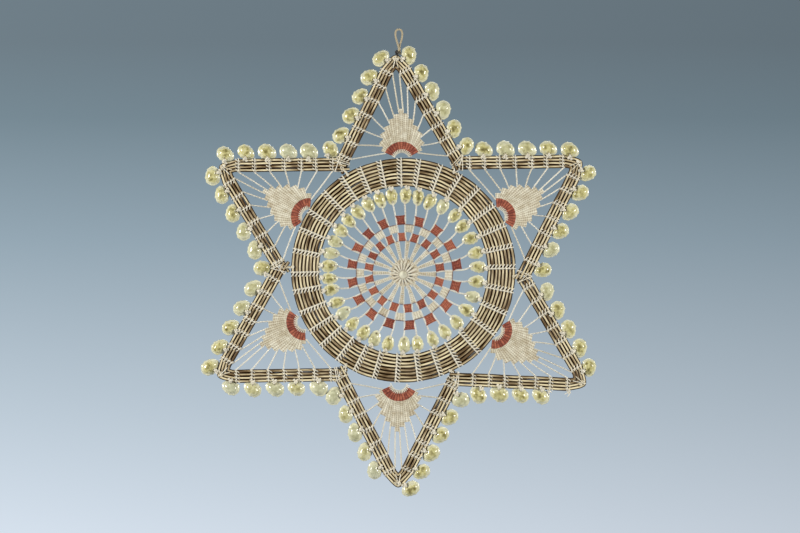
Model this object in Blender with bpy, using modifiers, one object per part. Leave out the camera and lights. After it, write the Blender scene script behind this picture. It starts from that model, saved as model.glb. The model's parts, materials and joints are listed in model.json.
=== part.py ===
"""Six-pointed star wall hanging of lashed leaf ribs, cowrie shells and needle-woven thread.

The star lies in the XZ plane and faces -Y. The origin is the inside top of the hanging loop,
where the nail goes. Clock angles are in degrees, 0 up and 90 to the right, seen from the front.
Left and right on a point are as seen from the middle of the star, looking out to its tip.
"""
import math
from collections import namedtuple

import bmesh
import bpy
from mathutils import Vector

MM = 0.001

# Clearance between pieces that touch in the real object
GAP = 0.3 * MM

# How far the top point's tip hangs below the inside top of the loop, and how far aside the ring's
# middle lies
TIP_BELOW_LOOP = 25.5 * MM
RING_ASIDE = 4.7 * MM

# Ring of ribs laid side by side
RING_INNER = 84.0 * MM
RING_ROWS = 8
RING_ROW_WIDTH = 3.5 * MM
RING_DEPTH = 3.6 * MM
RING_GROOVE_DEPTH = 1.7 * MM
RING_FACETS = 30
RING_FIRST_FACET = 8.8

# Legs of the points, each a flat bundle of ribs
LEG_RIBS = 4
LEG_RIB_WIDTH = 3.3 * MM
LEG_DEPTH = 3.4 * MM
LEG_GROOVE_DEPTH = 1.6 * MM
CROWN_BEND = 1.0 * MM
CROWN_FACETS = 1

# Threads of the fans and where they are lashed along a leg
LEG_LASHINGS = 7
FIRST_LASHING = 6.0 * MM
LASHING_PITCH = 15.6 * MM
FAN_THREAD = 1.2 * MM
FAN_DEPTH = 1.4 * MM

# Woven fan at the foot of each point
FAN_HOLE = 8.0 * MM
FAN_FRINGE = 1.8 * MM
FAN_BAND = 9.0 * MM
FAN_COLUMN_ANGLE = 10.0
FAN_FIRST_RIM = 25.0 * MM
FAN_RIM_STEP = 4.4 * MM
FAN_NARROWING = 0.48
FAN_FLARE = 0.0105
FAN_FOOT_ANGLE = 84.0
FAN_HOLE_FACETS = 4

# Outer cowries, which lie along the legs, and the shares of a cowrie's length, width and depth
# that its foot, its belly and its back take
COWRIE_LENGTH = 18.6 * MM
COWRIE_WIDTH = 13.6 * MM
COWRIE_DEPTH = 9.6 * MM
COWRIE_STANDOFF = 0.4 * MM
COWRIE_TILT = 24.0
CORNER_COWRIE_TILT = 58.0
COWRIE_FOOT = 0.16
COWRIE_BELLY = 0.25
COWRIE_BELLY_LENGTH = 0.47
COWRIE_BELLY_DEPTH = 0.48
COWRIE_BACK_LENGTH = 0.42
COWRIE_BACK_DEPTH = 0.46
COWRIE_SLIMNESS = 0.45
STRAND_THREAD = 0.9 * MM
STRAND_TAIL = 4.0 * MM
STRAND_END = 1.0 * MM

# Inner cowries, which hang from the ring towards the middle
INNER_COWRIES = 34
INNER_COWRIE_LENGTH = 16.6 * MM
INNER_COWRIE_WIDTH = 11.6 * MM
INNER_COWRIE_DEPTH = 8.6 * MM

# Woven web in the middle, of 17 red columns and 17 pale ones
WEB_ASIDE = 1.2 * MM
WEB_BELOW = 2.3 * MM
WEB_RED_COLUMNS = INNER_COWRIES // 2
WEB_THREAD = 1.2 * MM
WEB_DEPTH = 1.5 * MM
WEB_HUB = 17.0 * MM
WEB_TO_COWRIES = 8.2 * MM
WEB_INNER_SQUARE = 8.6 * MM
WEB_PALE_SQUARE = 7.9 * MM
WEB_OUTER_SQUARE = 9.5 * MM

# The spokes crowd together at the upper left
WEB_FIRST_CORNER = 351.6
CROWDING_LEAN = 3.9
CROWDING_PHASE = 32.0
WEB_CROWDING = 6.0
COWRIE_CROWDING = 5.7

# Loop of cord and the dark knot beside its foot
LOOP_CORD = 2.2 * MM
LOOP_ROUTE_MM = (
    (1.6, 0.0, -24.0), (1.4, 0.7, -21.5), (0.9, 1.25, -18.8), (1.0, 1.0, -16.2), (1.5, 0.5, -13.6),
    (2.6, 0.1, -10.5), (3.4, 0.0, -7.0), (3.7, 0.0, -3.6), (3.2, 0.0, -0.8), (1.8, 0.0, 0.8),
    (0.0, 0.0, 1.1), (-1.6, 0.0, 0.7), (-2.8, 0.0, -0.8), (-3.2, 0.0, -3.6), (-2.8, 0.0, -7.0),
    (-1.8, -0.1, -10.5), (-0.9, -0.5, -13.6), (-0.2, -1.0, -16.2), (0.2, -1.25, -18.8),
    (-0.6, -0.8, -21.5), (-1.1, 0.0, -24.0),
)
KNOT_WIDTH = 3.6 * MM
KNOT_HEIGHT = 5.4 * MM
KNOT_DEPTH = 3.8 * MM
KNOT_FROM_CORD = 4.6 * MM
KNOT_ABOVE_TIP = 3.2 * MM

# Cowries along one leg: how many, and where the first and the last lie from the bend at the tip, as
# shares of the leg's outer edge. A row that ends at the corner has its last cowrie turned up.
Row = namedtuple("Row", "cowries first last ends_at_corner")

# One line for each point: its name, the clock angle of its tip, the tip's reach in ring radii, the
# clock angle of its fan, how far the fan's middle lies inside the ring's edge in radii of its hole,
# and the cowries along its left and right legs. Two are lost from the lower right point.
Point = namedtuple("Point", "name angle reach fan_angle fan_inset left_row right_row")
POINTS = (
    Point("top", 357.9, 1.9152, 359.2, 0.275,
          Row(5, -0.044, 0.790, False), Row(6, -0.061, 0.938, True)),
    Point("upper_right", 58.5, 1.8598, 60.3, 0.525,
          Row(5, -0.018, 0.794, False), Row(6, -0.037, 0.903, True)),
    Point("lower_right", 122.2, 1.9134, 123.5, 0.500,
          Row(5, 0.000, 0.800, False), Row(4, 0.271, 0.822, True)),
    Point("bottom", 181.4, 1.9268, 182.2, 0.000,
          Row(6, -0.095, 0.885, True), Row(5, 0.117, 0.885, True)),
    Point("lower_left", 240.3, 1.9000, 242.4, 0.150,
          Row(5, -0.002, 0.831, False), Row(6, -0.077, 0.946, True)),
    Point("upper_left", 299.7, 1.8795, 299.8, 0.525,
          Row(5, -0.078, 0.761, False), Row(6, -0.073, 0.938, True)),
)

# One row for each inner corner between two points, clockwise from the top point: its clock angle
# and how far it stands off the ring, in rib widths
Corner = namedtuple("Corner", "angle standoff")
CORNERS = (
    Corner(27.2, 0.394),
    Corner(93.2, 0.100),
    Corner(155.0, 0.152),
    Corner(211.4, 0.727),
    Corner(271.7, 1.121),
    Corner(329.8, 0.970),
)

RING_OUTER = RING_INNER + RING_ROWS * RING_ROW_WIDTH
LEG_WIDTH = LEG_RIBS * LEG_RIB_WIDTH
FAN_THREADS = 2 * LEG_LASHINGS
COWRIE_THREAD_REACH = (RING_INNER - GAP) * math.cos(math.pi / RING_FACETS)

Leg = namedtuple("Leg", "start along out inner_length outer_length inner_end outer_end")


def clock(angle):
    """Unit vector in the plane of the star at a clock angle in degrees."""
    turn = math.radians(angle)
    return Vector((math.sin(turn), math.cos(turn)))


def tip_reach(point):
    """How far the tip of a point lies from the middle of the ring."""
    return point.reach * RING_OUTER


RING_BELOW = TIP_BELOW_LOOP + tip_reach(POINTS[0]) * clock(POINTS[0].angle).y
RING_CENTRE = Vector((RING_ASIDE, -RING_BELOW))
WEB_CENTRE = RING_CENTRE + Vector((WEB_ASIDE, -WEB_BELOW))


def polar(centre, angle, reach):
    """Point at a clock angle and a distance from a centre."""
    return centre + clock(angle) * reach


def cross(a, b):
    """Cross product of two vectors in the plane."""
    return a.x * b.y - a.y * b.x


def meeting(start_a, along_a, start_b, along_b):
    """Point where two lines in the plane cross."""
    reach = cross(start_b - start_a, along_b) / cross(along_a, along_b)
    return start_a + along_a * reach


def principled(name, colour, roughness, metallic=0.0):
    """Material with one Principled shader."""
    material = bpy.data.materials.new(name)
    material.use_nodes = True
    shader = material.node_tree.nodes["Principled BSDF"]
    shader.inputs["Base Color"].default_value = (*colour, 1.0)
    shader.inputs["Roughness"].default_value = roughness
    shader.inputs["Metallic"].default_value = metallic
    return material


def add_object(name, data, collection, material):
    """New object in a collection with one material."""
    item = bpy.data.objects.new(name, data)
    data.materials.append(material)
    collection.objects.link(item)
    return item


def flat_outline(name, splines, depth, centre, collection, material):
    """Flat piece cut from outlines in the plane of the star, the first one outside, the rest holes."""
    curve = bpy.data.curves.new(name, "CURVE")
    curve.dimensions = "2D"
    curve.fill_mode = "BOTH"
    curve.extrude = depth / 2
    for points in splines:
        spline = curve.splines.new("POLY")
        spline.points.add(len(points) - 1)
        for slot, point in zip(spline.points, points):
            slot.co = (point.x - centre.x, point.y - centre.y, 0.0, 1.0)
        spline.use_cyclic_u = True
    piece = add_object(name, curve, collection, material)
    piece.location = (centre.x, 0.0, centre.y)
    piece.rotation_euler = (math.pi / 2, 0.0, 0.0)
    return piece


def ribbed_section(rows, row_width, depth, groove_depth):
    """Outline of ribs side by side, as pairs of distance across and depth, round from the first edge."""
    front = []
    for row in range(rows):
        front.append(((row + 0.5) * row_width, depth / 2))
        front.append(((row + 1) * row_width, groove_depth / 2))
    front.pop()
    back = [(across, -height) for across, height in reversed(front)]
    return [(0.0, 0.0), *front, (rows * row_width, 0.0), *back]


def build_ring(collection, material):
    """Flat coil of ribs, one profile turned round the middle of the star."""
    profile = ribbed_section(RING_ROWS, RING_ROW_WIDTH, RING_DEPTH, RING_GROOVE_DEPTH)
    start = math.radians(90.0 - RING_FIRST_FACET)
    mesh = bpy.data.meshes.new("ring_of_ribs")
    corners = []
    for across, height in profile:
        radius = RING_INNER + across
        corners.append((radius * math.cos(start), radius * math.sin(start), height))
    edges = [(index, (index + 1) % len(corners)) for index in range(len(corners))]
    mesh.from_pydata(corners, edges, [])
    ring = add_object("ring_of_ribs", mesh, collection, material)
    ring.location = (RING_CENTRE.x, 0.0, RING_CENTRE.y)
    ring.rotation_euler = (math.pi / 2, 0.0, 0.0)
    turn = ring.modifiers.new("Turn", "SCREW")
    turn.steps = RING_FACETS
    turn.render_steps = RING_FACETS
    turn.use_merge_vertices = True
    turn.merge_threshold = 0.01 * MM
    turn.use_smooth_shade = False
    return ring


def crown_centre(point):
    """Middle of the bend at the tip of a point."""
    return polar(RING_CENTRE, point.angle, tip_reach(point) - LEG_WIDTH - CROWN_BEND)


def leg_line(index, side):
    """Inner edge of a leg, side -1 for left and 1 for right: where it starts, along and outwards."""
    corner = CORNERS[index if side > 0 else index - 1]
    foot = polar(RING_CENTRE, corner.angle, RING_OUTER + corner.standoff * LEG_RIB_WIDTH)
    centre = crown_centre(POINTS[index])
    span = foot - centre
    straight = span.normalized()
    sideways = Vector((-straight.y, straight.x)) * side
    swing = math.asin(CROWN_BEND / span.length)
    along = straight * math.cos(swing) - sideways * math.sin(swing)
    out = sideways * math.cos(swing) + straight * math.sin(swing)
    return centre + out * CROWN_BEND, along, out


def leg(index, side):
    """Leg of a point: its inner edge, and where both edges end at the corner with the next point."""
    other_index = (index + side) % len(POINTS)
    start, along, out = leg_line(index, side)
    other_start, other_along, other_out = leg_line(other_index, -side)
    inner_end = meeting(start, along, other_start, other_along)
    outer_end = meeting(start + out * LEG_WIDTH, along, other_start + other_out * LEG_WIDTH, other_along)
    inner_length = (inner_end - start).dot(along)
    outer_length = (outer_end - start).dot(along)
    return Leg(start, along, out, inner_length, outer_length, inner_end, outer_end)


def leg_end(frame, across):
    """How far along a leg the mitre with the next leg lies, less half the gap between them."""
    mitre = (frame.outer_end - frame.inner_end).normalized()
    pull_back = GAP / 2 / abs(cross(frame.along, mitre))
    share = across / LEG_WIDTH
    return frame.inner_length + (frame.outer_length - frame.inner_length) * share - pull_back


def build_leg(index, side, collection, material):
    """Bundle of ribs from the middle of the tip, round the crown and down to the corner."""
    point = POINTS[index]
    frame = leg(index, side)
    centre = crown_centre(point)
    axis = clock(point.angle)
    sideways = Vector((axis.y, -axis.x)) * side
    sweep = math.acos(frame.out.dot(axis))
    profile = ribbed_section(LEG_RIBS, LEG_RIB_WIDTH, LEG_DEPTH, LEG_GROOVE_DEPTH)
    shape = bmesh.new()
    sections = []
    for step in range(CROWN_FACETS + 2):
        section = []
        for across, height in profile:
            if step <= CROWN_FACETS:
                turn = sweep * step / CROWN_FACETS
                reach = CROWN_BEND + across
                place = centre + (axis * math.cos(turn) + sideways * math.sin(turn)) * reach
                if step == 0:
                    place += sideways * (GAP / 2)
            else:
                place = frame.start + frame.along * leg_end(frame, across) + frame.out * across
            section.append(shape.verts.new((place.x, -height, place.y)))
        sections.append(section)
    count = len(profile)
    for before, after in zip(sections, sections[1:]):
        for slot in range(count):
            following = (slot + 1) % count
            shape.faces.new((before[slot], before[following], after[following], after[slot]))
    shape.faces.new(sections[0])
    shape.faces.new(reversed(sections[-1]))
    side_name = "right" if side > 0 else "left"
    return finish_shape(f"{point.name}_point_{side_name}_leg", shape, collection, material)


def finish_shape(name, shape, collection, material):
    """Object from a closed bmesh, with its faces pointing out."""
    bmesh.ops.recalc_face_normals(shape, faces=shape.faces)
    mesh = bpy.data.meshes.new(name)
    shape.to_mesh(mesh)
    shape.free()
    return add_object(name, mesh, collection, material)


def thread_section(shape, frame, distance):
    """Three corners of the thread that a row of cowries hangs on."""
    origin, along, out = frame
    half = STRAND_THREAD / 2
    corners = ((2 * half, -half), (2 * half, half), (0.0, 0.0))
    section = []
    for height, depth in corners:
        place = origin + along * distance + out * height
        section.append(shape.verts.new((place.x, depth, place.y)))
    return section


def cowrie_ring(shape, frame, middle, height, tilt, half_length, half_depth):
    """Six corners round a cowrie, at one height over its thread."""
    origin, along, out = frame
    turn = math.radians(tilt)
    slim = COWRIE_SLIMNESS * half_depth
    corners = ((-half_length, -slim), (0.0, -half_depth), (half_length, -slim),
               (half_length, slim), (0.0, half_depth), (-half_length, slim))
    ring = []
    for shift, depth in corners:
        leaning = along * (shift * math.cos(turn) - height * math.sin(turn))
        rising = out * (shift * math.sin(turn) + height * math.cos(turn))
        place = origin + out * middle + leaning + rising
        ring.append(shape.verts.new((place.x, depth, place.y)))
    return ring


def add_cowrie(shape, frame, base, length, width, depth, tilt):
    """Cowrie over the four corners that its thread leaves open."""
    turn = math.radians(abs(tilt))
    belly_drop = width * COWRIE_BELLY
    belly = length * COWRIE_BELLY_LENGTH
    lowest = belly_drop * math.cos(turn) + belly * math.sin(turn)
    middle = COWRIE_STANDOFF + max(width / 2, lowest)
    lower = cowrie_ring(shape, frame, middle, -belly_drop, tilt, belly, depth * COWRIE_BELLY_DEPTH)
    upper = cowrie_ring(shape, frame, middle, belly_drop, tilt, length * COWRIE_BACK_LENGTH,
                        depth * COWRIE_BACK_DEPTH)
    for half in (0, 1):
        near, far, across = base[2 * half], base[2 * half + 1], base[(2 * half + 2) % 4]
        first, middle_corner, last = lower[3 * half:3 * half + 3]
        shape.faces.new((near, middle_corner, first))
        shape.faces.new((near, far, middle_corner))
        shape.faces.new((far, last, middle_corner))
        shape.faces.new((far, across, lower[(3 * half + 3) % 6], last))
    peak = cowrie_ring(shape, frame, middle, width / 2, tilt, 0.0, 0.0)
    for spare in peak[1:]:
        shape.verts.remove(spare)
    for slot in range(6):
        following = (slot + 1) % 6
        shape.faces.new((lower[slot], lower[following], upper[following], upper[slot]))
        shape.faces.new((upper[slot], upper[following], peak[0]))


def join_sections(shape, before, after, open_top):
    """Sides of a thread between two sections, open on top where a cowrie stands."""
    for slot in range(3):
        if slot == 0 and open_top:
            continue
        following = (slot + 1) % 3
        shape.faces.new((before[slot], before[following], after[following], after[slot]))


def add_cowrie_on_thread(shape, frame, half_base, size, tilt, last):
    """One cowrie and the thread under it, joined to the thread before it; gives both end sections."""
    length, width, depth = size
    start = thread_section(shape, frame, -half_base)
    end = thread_section(shape, frame, half_base)
    if last:
        join_sections(shape, last, start, False)
    join_sections(shape, start, end, True)
    add_cowrie(shape, frame, (start[0], end[0], end[1], start[1]), length, width, depth, tilt)
    return start, end


def build_outer_cowries(index, side, collection, material):
    """Row of cowries on their thread along the outside of one leg."""
    point = POINTS[index]
    frame = leg(index, side)
    row = point.right_row if side > 0 else point.left_row
    first = row.first * frame.outer_length
    pitch = (row.last * frame.outer_length - first) / (row.cowries - 1)
    edge = frame.start + frame.out * (LEG_WIDTH + GAP)
    shape = bmesh.new()
    size = (COWRIE_LENGTH, COWRIE_WIDTH, COWRIE_DEPTH)
    half_base = COWRIE_LENGTH * COWRIE_FOOT
    tail = half_base + STRAND_TAIL
    start = thread_section(shape, (edge + frame.along * first, frame.along, frame.out), -tail)
    shape.faces.new(start)
    last = start
    for number in range(row.cowries):
        spot = edge + frame.along * (first + number * pitch)
        here = (spot, frame.along, frame.out)
        at_corner = row.ends_at_corner and number == row.cowries - 1
        tilt = CORNER_COWRIE_TILT if at_corner else COWRIE_TILT
        last = add_cowrie_on_thread(shape, here, half_base, size, -side * tilt, last)[1]
    end = thread_section(shape, here, half_base + STRAND_END)
    join_sections(shape, last, end, False)
    shape.faces.new(end)
    side_name = "right" if side > 0 else "left"
    return finish_shape(f"{point.name}_point_{side_name}_cowries", shape, collection, material)


def spread(angle, crowding):
    """Clock angle of a spoke once the spokes crowd together at the upper left."""
    return angle + CROWDING_LEAN - crowding * math.cos(math.radians(angle - CROWDING_PHASE))


def cowrie_angle(number):
    """Clock angle of one of the inner cowries."""
    return spread(WEB_FIRST_CORNER + number * 360.0 / INNER_COWRIES, COWRIE_CROWDING)


def build_inner_cowries(collection, material):
    """Cowries that hang from the ring's inner edge, on one thread that runs round it."""
    shape = bmesh.new()
    size = (INNER_COWRIE_WIDTH, INNER_COWRIE_LENGTH, INNER_COWRIE_DEPTH)
    half_base = INNER_COWRIE_WIDTH * COWRIE_FOOT
    first = None
    last = None
    for number in range(INNER_COWRIES):
        inward = -clock(cowrie_angle(number))
        along = Vector((inward.y, -inward.x)) * -1.0
        frame = (RING_CENTRE - inward * COWRIE_THREAD_REACH, along, inward)
        start, last = add_cowrie_on_thread(shape, frame, half_base, size, 0.0, last)
        first = first or start
    join_sections(shape, last, first, False)
    return finish_shape("inner_cowries", shape, collection, material)


def fan_thread_ends(index):
    """Where the threads of a fan meet the legs of its point, from the left corner to the right one."""
    ends = []
    for side in (-1, 1):
        frame = leg(index, side)
        row = []
        for lashing in range(LEG_LASHINGS):
            distance = FIRST_LASHING + LASHING_PITCH * lashing
            row.append((frame.start + frame.along * distance - frame.out * GAP, frame.along * side))
        ends.extend(reversed(row) if side < 0 else row)
    return ends


def fan_rim(number, inset):
    """Where a thread leaves the woven rim of a fan, as the angle from its axis and the reach."""
    aside = (number - (FAN_THREADS - 1) / 2) * FAN_COLUMN_ANGLE
    from_edge = min(number, FAN_THREADS - 1 - number)
    if from_edge == 0:
        return aside, FAN_HOLE + FAN_FRINGE + FAN_BAND
    narrowed = aside * (FAN_NARROWING + FAN_FLARE * abs(aside))
    place = clock(narrowed) * (FAN_FIRST_RIM + FAN_RIM_STEP * (from_edge - 1)) + Vector((0.0, inset))
    return math.degrees(math.atan2(place.x, place.y)), place.length


def fan_foot(reach, inset):
    """How far from the axis a fan's circle of some reach sweeps before it meets the ring."""
    return math.degrees(math.acos(math.cos(math.radians(FAN_FOOT_ANGLE)) + inset / reach))


def build_fan(index, collection, material):
    """Half round of weaving on the ring's outer edge, with the threads that stretch it to both legs."""
    point = POINTS[index]
    inset = point.fan_inset * FAN_HOLE
    middle = polar(RING_CENTRE, point.fan_angle, RING_OUTER + GAP - inset)
    axis = point.fan_angle
    fringe = FAN_HOLE + FAN_FRINGE
    half_sweep = FAN_COLUMN_ANGLE * (FAN_THREADS - 1) / 2
    foot = fan_foot(fringe, inset)
    outline = [polar(middle, axis - foot, fringe)]
    outline.append(polar(middle, axis - half_sweep, fringe))
    half = FAN_THREAD / 2
    for number, (end, edge_along) in enumerate(fan_thread_ends(index)):
        aside, reach = fan_rim(number, inset)
        start = polar(middle, axis + aside, reach)
        along = (end - start).normalized()
        left = Vector((-along.y, along.x))
        cut = edge_along * (half / abs(cross(along, edge_along)))
        if cut.dot(left) < 0:
            cut = -cut
        outline.extend((start + left * half, end + cut, end - cut, start - left * half))
    outline.append(polar(middle, axis + half_sweep, fringe))
    outline.append(polar(middle, axis + foot, fringe))
    hole_foot = fan_foot(FAN_HOLE, inset)
    for step in range(FAN_HOLE_FACETS + 1):
        turn = hole_foot * (1 - 2 * step / FAN_HOLE_FACETS)
        outline.append(polar(middle, axis + turn, FAN_HOLE))
    return flat_outline(f"{point.name}_fan", [outline], FAN_DEPTH, middle, collection, material)


def web_corner(number):
    """Clock angle of the spoke between two columns of the web."""
    return spread(WEB_FIRST_CORNER + number * 360.0 / INNER_COWRIES, WEB_CROWDING)


def web_window(left, right, low, high):
    """Four-cornered window between two spokes and two rounds of thread."""
    half = WEB_THREAD / 2
    corners = []
    for angle, reach, inset in ((left, low, 1), (left, high, 1), (right, high, -1), (right, low, -1)):
        shift = math.degrees(half / reach) * inset
        corners.append(polar(WEB_CENTRE, angle + shift, reach))
    return corners


def build_web(collection, material):
    """Needle-woven wheel of red and pale squares round a knotted hub."""
    half = WEB_THREAD / 2
    cowrie_end = COWRIE_THREAD_REACH - COWRIE_STANDOFF - INNER_COWRIE_LENGTH - GAP
    outer_end = cowrie_end - WEB_TO_COWRIES
    outer_start = outer_end - WEB_OUTER_SQUARE
    pale_start = outer_start - WEB_PALE_SQUARE
    spokes_end = pale_start - WEB_INNER_SQUARE
    outline = []
    windows = []
    for column in range(WEB_RED_COLUMNS):
        left = web_corner(2 * column)
        right = web_corner(2 * column + 1)
        following = web_corner(2 * column + 2)
        low_shift = math.degrees(half / outer_start)
        high_shift = math.degrees(half / outer_end)
        outline.append(polar(WEB_CENTRE, left - low_shift, outer_start + half))
        for number, corner in ((2 * column, left), (2 * column + 1, right)):
            tip = polar(RING_CENTRE, cowrie_angle(number), cowrie_end)
            aside = clock(cowrie_angle(number) + 90.0) * half
            outline.append(polar(WEB_CENTRE, corner - high_shift, outer_end))
            outline.append(tip - aside)
            outline.append(tip + aside)
            outline.append(polar(WEB_CENTRE, corner + high_shift, outer_end))
        outline.append(polar(WEB_CENTRE, right + low_shift, outer_start + half))
        windows.append(web_window(left, right, WEB_HUB, spokes_end - half))
        windows.append(web_window(right, following, spokes_end + half, pale_start))
        windows.append(web_window(left, right, pale_start, outer_start - half))
    splines = [outline, *windows]
    return flat_outline("centre_web", splines, WEB_DEPTH, WEB_CENTRE, collection, material)


def build_loop(collection, material):
    """Doubled cord that hangs the star, from one foot up over the nail and back to the other."""
    curve = bpy.data.curves.new("hanging_loop", "CURVE")
    curve.dimensions = "3D"
    curve.bevel_depth = LOOP_CORD / 2
    curve.bevel_resolution = 2
    curve.use_fill_caps = True
    spline = curve.splines.new("POLY")
    spline.points.add(len(LOOP_ROUTE_MM) - 1)
    for slot, (x, y, z) in zip(spline.points, LOOP_ROUTE_MM):
        slot.co = (x * MM, y * MM, z * MM, 1.0)
    return add_object("hanging_loop", curve, collection, material)


def build_knot(collection, material):
    """Dark knot that ties the loop to the tip of the top point."""
    shape = bmesh.new()
    bmesh.ops.create_uvsphere(shape, u_segments=8, v_segments=6, radius=0.5)
    bmesh.ops.scale(shape, vec=(KNOT_WIDTH, KNOT_DEPTH, KNOT_HEIGHT), verts=shape.verts)
    knot = finish_shape("loop_knot", shape, collection, material)
    foot_x, foot_y, foot_z = LOOP_ROUTE_MM[-1]
    tip = polar(RING_CENTRE, POINTS[0].angle, tip_reach(POINTS[0]))
    knot.location = (foot_x * MM + KNOT_WIDTH / 2 - KNOT_FROM_CORD, foot_y * MM, tip.y + KNOT_ABOVE_TIP)
    return knot


def main():
    """Clear the scene and build every piece of the star."""
    for item in list(bpy.data.objects):
        bpy.data.objects.remove(item)
    collection = bpy.data.collections.new("sennit_star_wall_hanging")
    bpy.context.scene.collection.children.link(collection)
    rib = principled("leaf_rib", (0.42, 0.29, 0.16), 0.6)
    thread = principled("cream_thread", (0.80, 0.74, 0.60), 0.85)
    weaving = principled("woven_thread", (0.62, 0.36, 0.27), 0.9)
    shell = principled("cowrie_shell", (0.72, 0.70, 0.42), 0.2)
    dark = principled("dark_thread", (0.05, 0.03, 0.02), 0.8)
    build_ring(collection, rib)
    for index in range(len(POINTS)):
        for side in (-1, 1):
            build_leg(index, side, collection, rib)
            build_outer_cowries(index, side, collection, shell)
        build_fan(index, collection, weaving)
    build_inner_cowries(collection, shell)
    build_web(collection, weaving)
    build_loop(collection, thread)
    build_knot(collection, dark)


main()
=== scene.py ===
"""Looks of a six-pointed star wall hanging of lashed leaf ribs, cowries and needle-woven thread.

The star hangs in the XZ plane and faces -Y. The origin is the inside top of its hanging loop. Clock
angles are in degrees, 0 up and 90 to the right, seen from the front. Left and right on a point are
as seen from the middle of the star, looking out to its tip.
"""
from __future__ import annotations

import json
import logging
import math
from dataclasses import dataclass, field
from enum import Enum
from typing import Any, Iterable, Sequence

import bmesh
import bpy
import numpy as np
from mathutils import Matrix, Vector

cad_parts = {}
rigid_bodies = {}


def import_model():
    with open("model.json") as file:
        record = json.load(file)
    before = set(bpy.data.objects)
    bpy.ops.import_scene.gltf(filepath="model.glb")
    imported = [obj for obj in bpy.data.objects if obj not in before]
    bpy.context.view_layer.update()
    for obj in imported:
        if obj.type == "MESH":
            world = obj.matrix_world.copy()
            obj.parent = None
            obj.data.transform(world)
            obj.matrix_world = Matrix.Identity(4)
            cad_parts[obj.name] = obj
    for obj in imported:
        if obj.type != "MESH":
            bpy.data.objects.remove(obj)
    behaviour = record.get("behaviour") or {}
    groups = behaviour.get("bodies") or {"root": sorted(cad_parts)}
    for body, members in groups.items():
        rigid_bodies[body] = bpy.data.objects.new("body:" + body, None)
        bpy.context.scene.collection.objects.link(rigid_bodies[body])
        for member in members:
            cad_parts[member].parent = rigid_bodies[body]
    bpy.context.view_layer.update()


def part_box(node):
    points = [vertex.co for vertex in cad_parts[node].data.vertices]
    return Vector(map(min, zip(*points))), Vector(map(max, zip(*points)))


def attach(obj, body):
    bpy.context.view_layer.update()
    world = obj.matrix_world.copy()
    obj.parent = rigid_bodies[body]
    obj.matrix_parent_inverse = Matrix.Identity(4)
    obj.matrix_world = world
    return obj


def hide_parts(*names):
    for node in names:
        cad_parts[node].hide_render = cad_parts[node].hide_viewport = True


MM = 0.001
TURN = 2 * math.pi
BODY = "root"
LOG = logging.getLogger("star")
Colour = tuple[float, float, float]


class Side(Enum):
    """Side of a point, seen from the middle of the star."""

    LEFT = -1
    RIGHT = 1


class Face(Enum):
    """Which face of the star a thread lies on."""

    FRONT = 1
    BACK = -1


@dataclass(frozen=True)
class Row:
    """Cowries along one leg: how many, and where the first and last lie from the bend, in mm."""

    cowries: int
    first: float
    last: float
    ends_at_corner: bool


@dataclass(frozen=True)
class Point:
    """One point: clock angle and reach of its tip, angle and inset of its fan, rows of cowries, in mm."""

    name: str
    angle: float
    reach: float
    fan_angle: float
    fan_inset: float
    left_row: Row
    right_row: Row


@dataclass(frozen=True)
class Corner:
    """Inner corner between two points: its clock angle and how far it stands off the ring, in mm."""

    angle: float
    standoff: float


POINTS = (
    Point("top", 357.9, 214.5, 359.2, 2.2, Row(5, -4.6, 82.6, False), Row(6, -6.6, 101.2, True)),
    Point("upper_right", 58.5, 208.3, 60.3, 4.2, Row(5, -1.9, 84.2, False), Row(6, -4.2, 102.0, True)),
    Point("lower_right", 122.2, 214.3, 123.5, 4.0, Row(5, 0.0, 86.7, False), Row(4, 30.7, 93.2, True)),
    Point("bottom", 181.4, 215.8, 182.2, 0.0, Row(6, -9.9, 92.1, True), Row(5, 12.8, 96.6, True)),
    Point("lower_left", 240.3, 212.8, 242.4, 1.2, Row(5, -0.2, 87.0, False), Row(6, -8.4, 103.0, True)),
    Point("upper_left", 299.7, 210.5, 299.8, 4.2, Row(5, -7.9, 76.8, False), Row(6, -7.6, 98.0, True)),
)
CORNERS = (
    Corner(27.2, 1.3),
    Corner(93.2, 0.33),
    Corner(155.0, 0.5),
    Corner(211.4, 2.4),
    Corner(271.7, 3.7),
    Corner(329.8, 3.2),
)


def clock(angle: float) -> np.ndarray:
    """Unit vector in the plane of the star at a clock angle in degrees."""
    turn = math.radians(angle)
    return np.array((math.sin(turn), math.cos(turn)))


def clock_angle(direction: np.ndarray) -> float:
    """Clock angle in degrees of a direction in the plane of the star."""
    return math.degrees(math.atan2(direction[0], direction[1]))


def clockwise(direction: np.ndarray) -> np.ndarray:
    """A direction in the plane turned a quarter clockwise, seen from the front."""
    return np.array((direction[1], -direction[0]))


def cross(a: np.ndarray, b: np.ndarray) -> float:
    """Cross product of two vectors in the plane."""
    return float(a[0] * b[1] - a[1] * b[0])


def meeting(start_a: np.ndarray, along_a: np.ndarray, start_b: np.ndarray, along_b: np.ndarray) -> np.ndarray:
    """Point where two lines in the plane cross."""
    return start_a + along_a * cross(start_b - start_a, along_b) / cross(along_a, along_b)


def lift(place: Sequence[float], height: float) -> np.ndarray:
    """Point in space over a place in the plane, at a height towards the front."""
    return np.array((place[0], -height, place[1]))


def raised(plane: np.ndarray, height: np.ndarray) -> np.ndarray:
    """Points in space over an array of places in the plane, at heights towards the front."""
    return np.stack((plane[..., 0], -height, plane[..., 1]), -1)


def fan_out(turn: np.ndarray) -> np.ndarray:
    """Unit vectors in the plane of the star at clock angles in radians."""
    return np.stack((np.sin(turn), np.cos(turn)), -1)


def wave(place: np.ndarray) -> np.ndarray:
    """Ridges between 0 and 1 that repeat each whole number."""
    return 0.5 + 0.5 * np.cos(place * TURN)


def bell(distance: np.ndarray, spread: float, power: float = 2.0) -> np.ndarray:
    """Smooth hump of height 1 round a distance of 0."""
    return np.exp(-((distance / spread) ** power))


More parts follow.
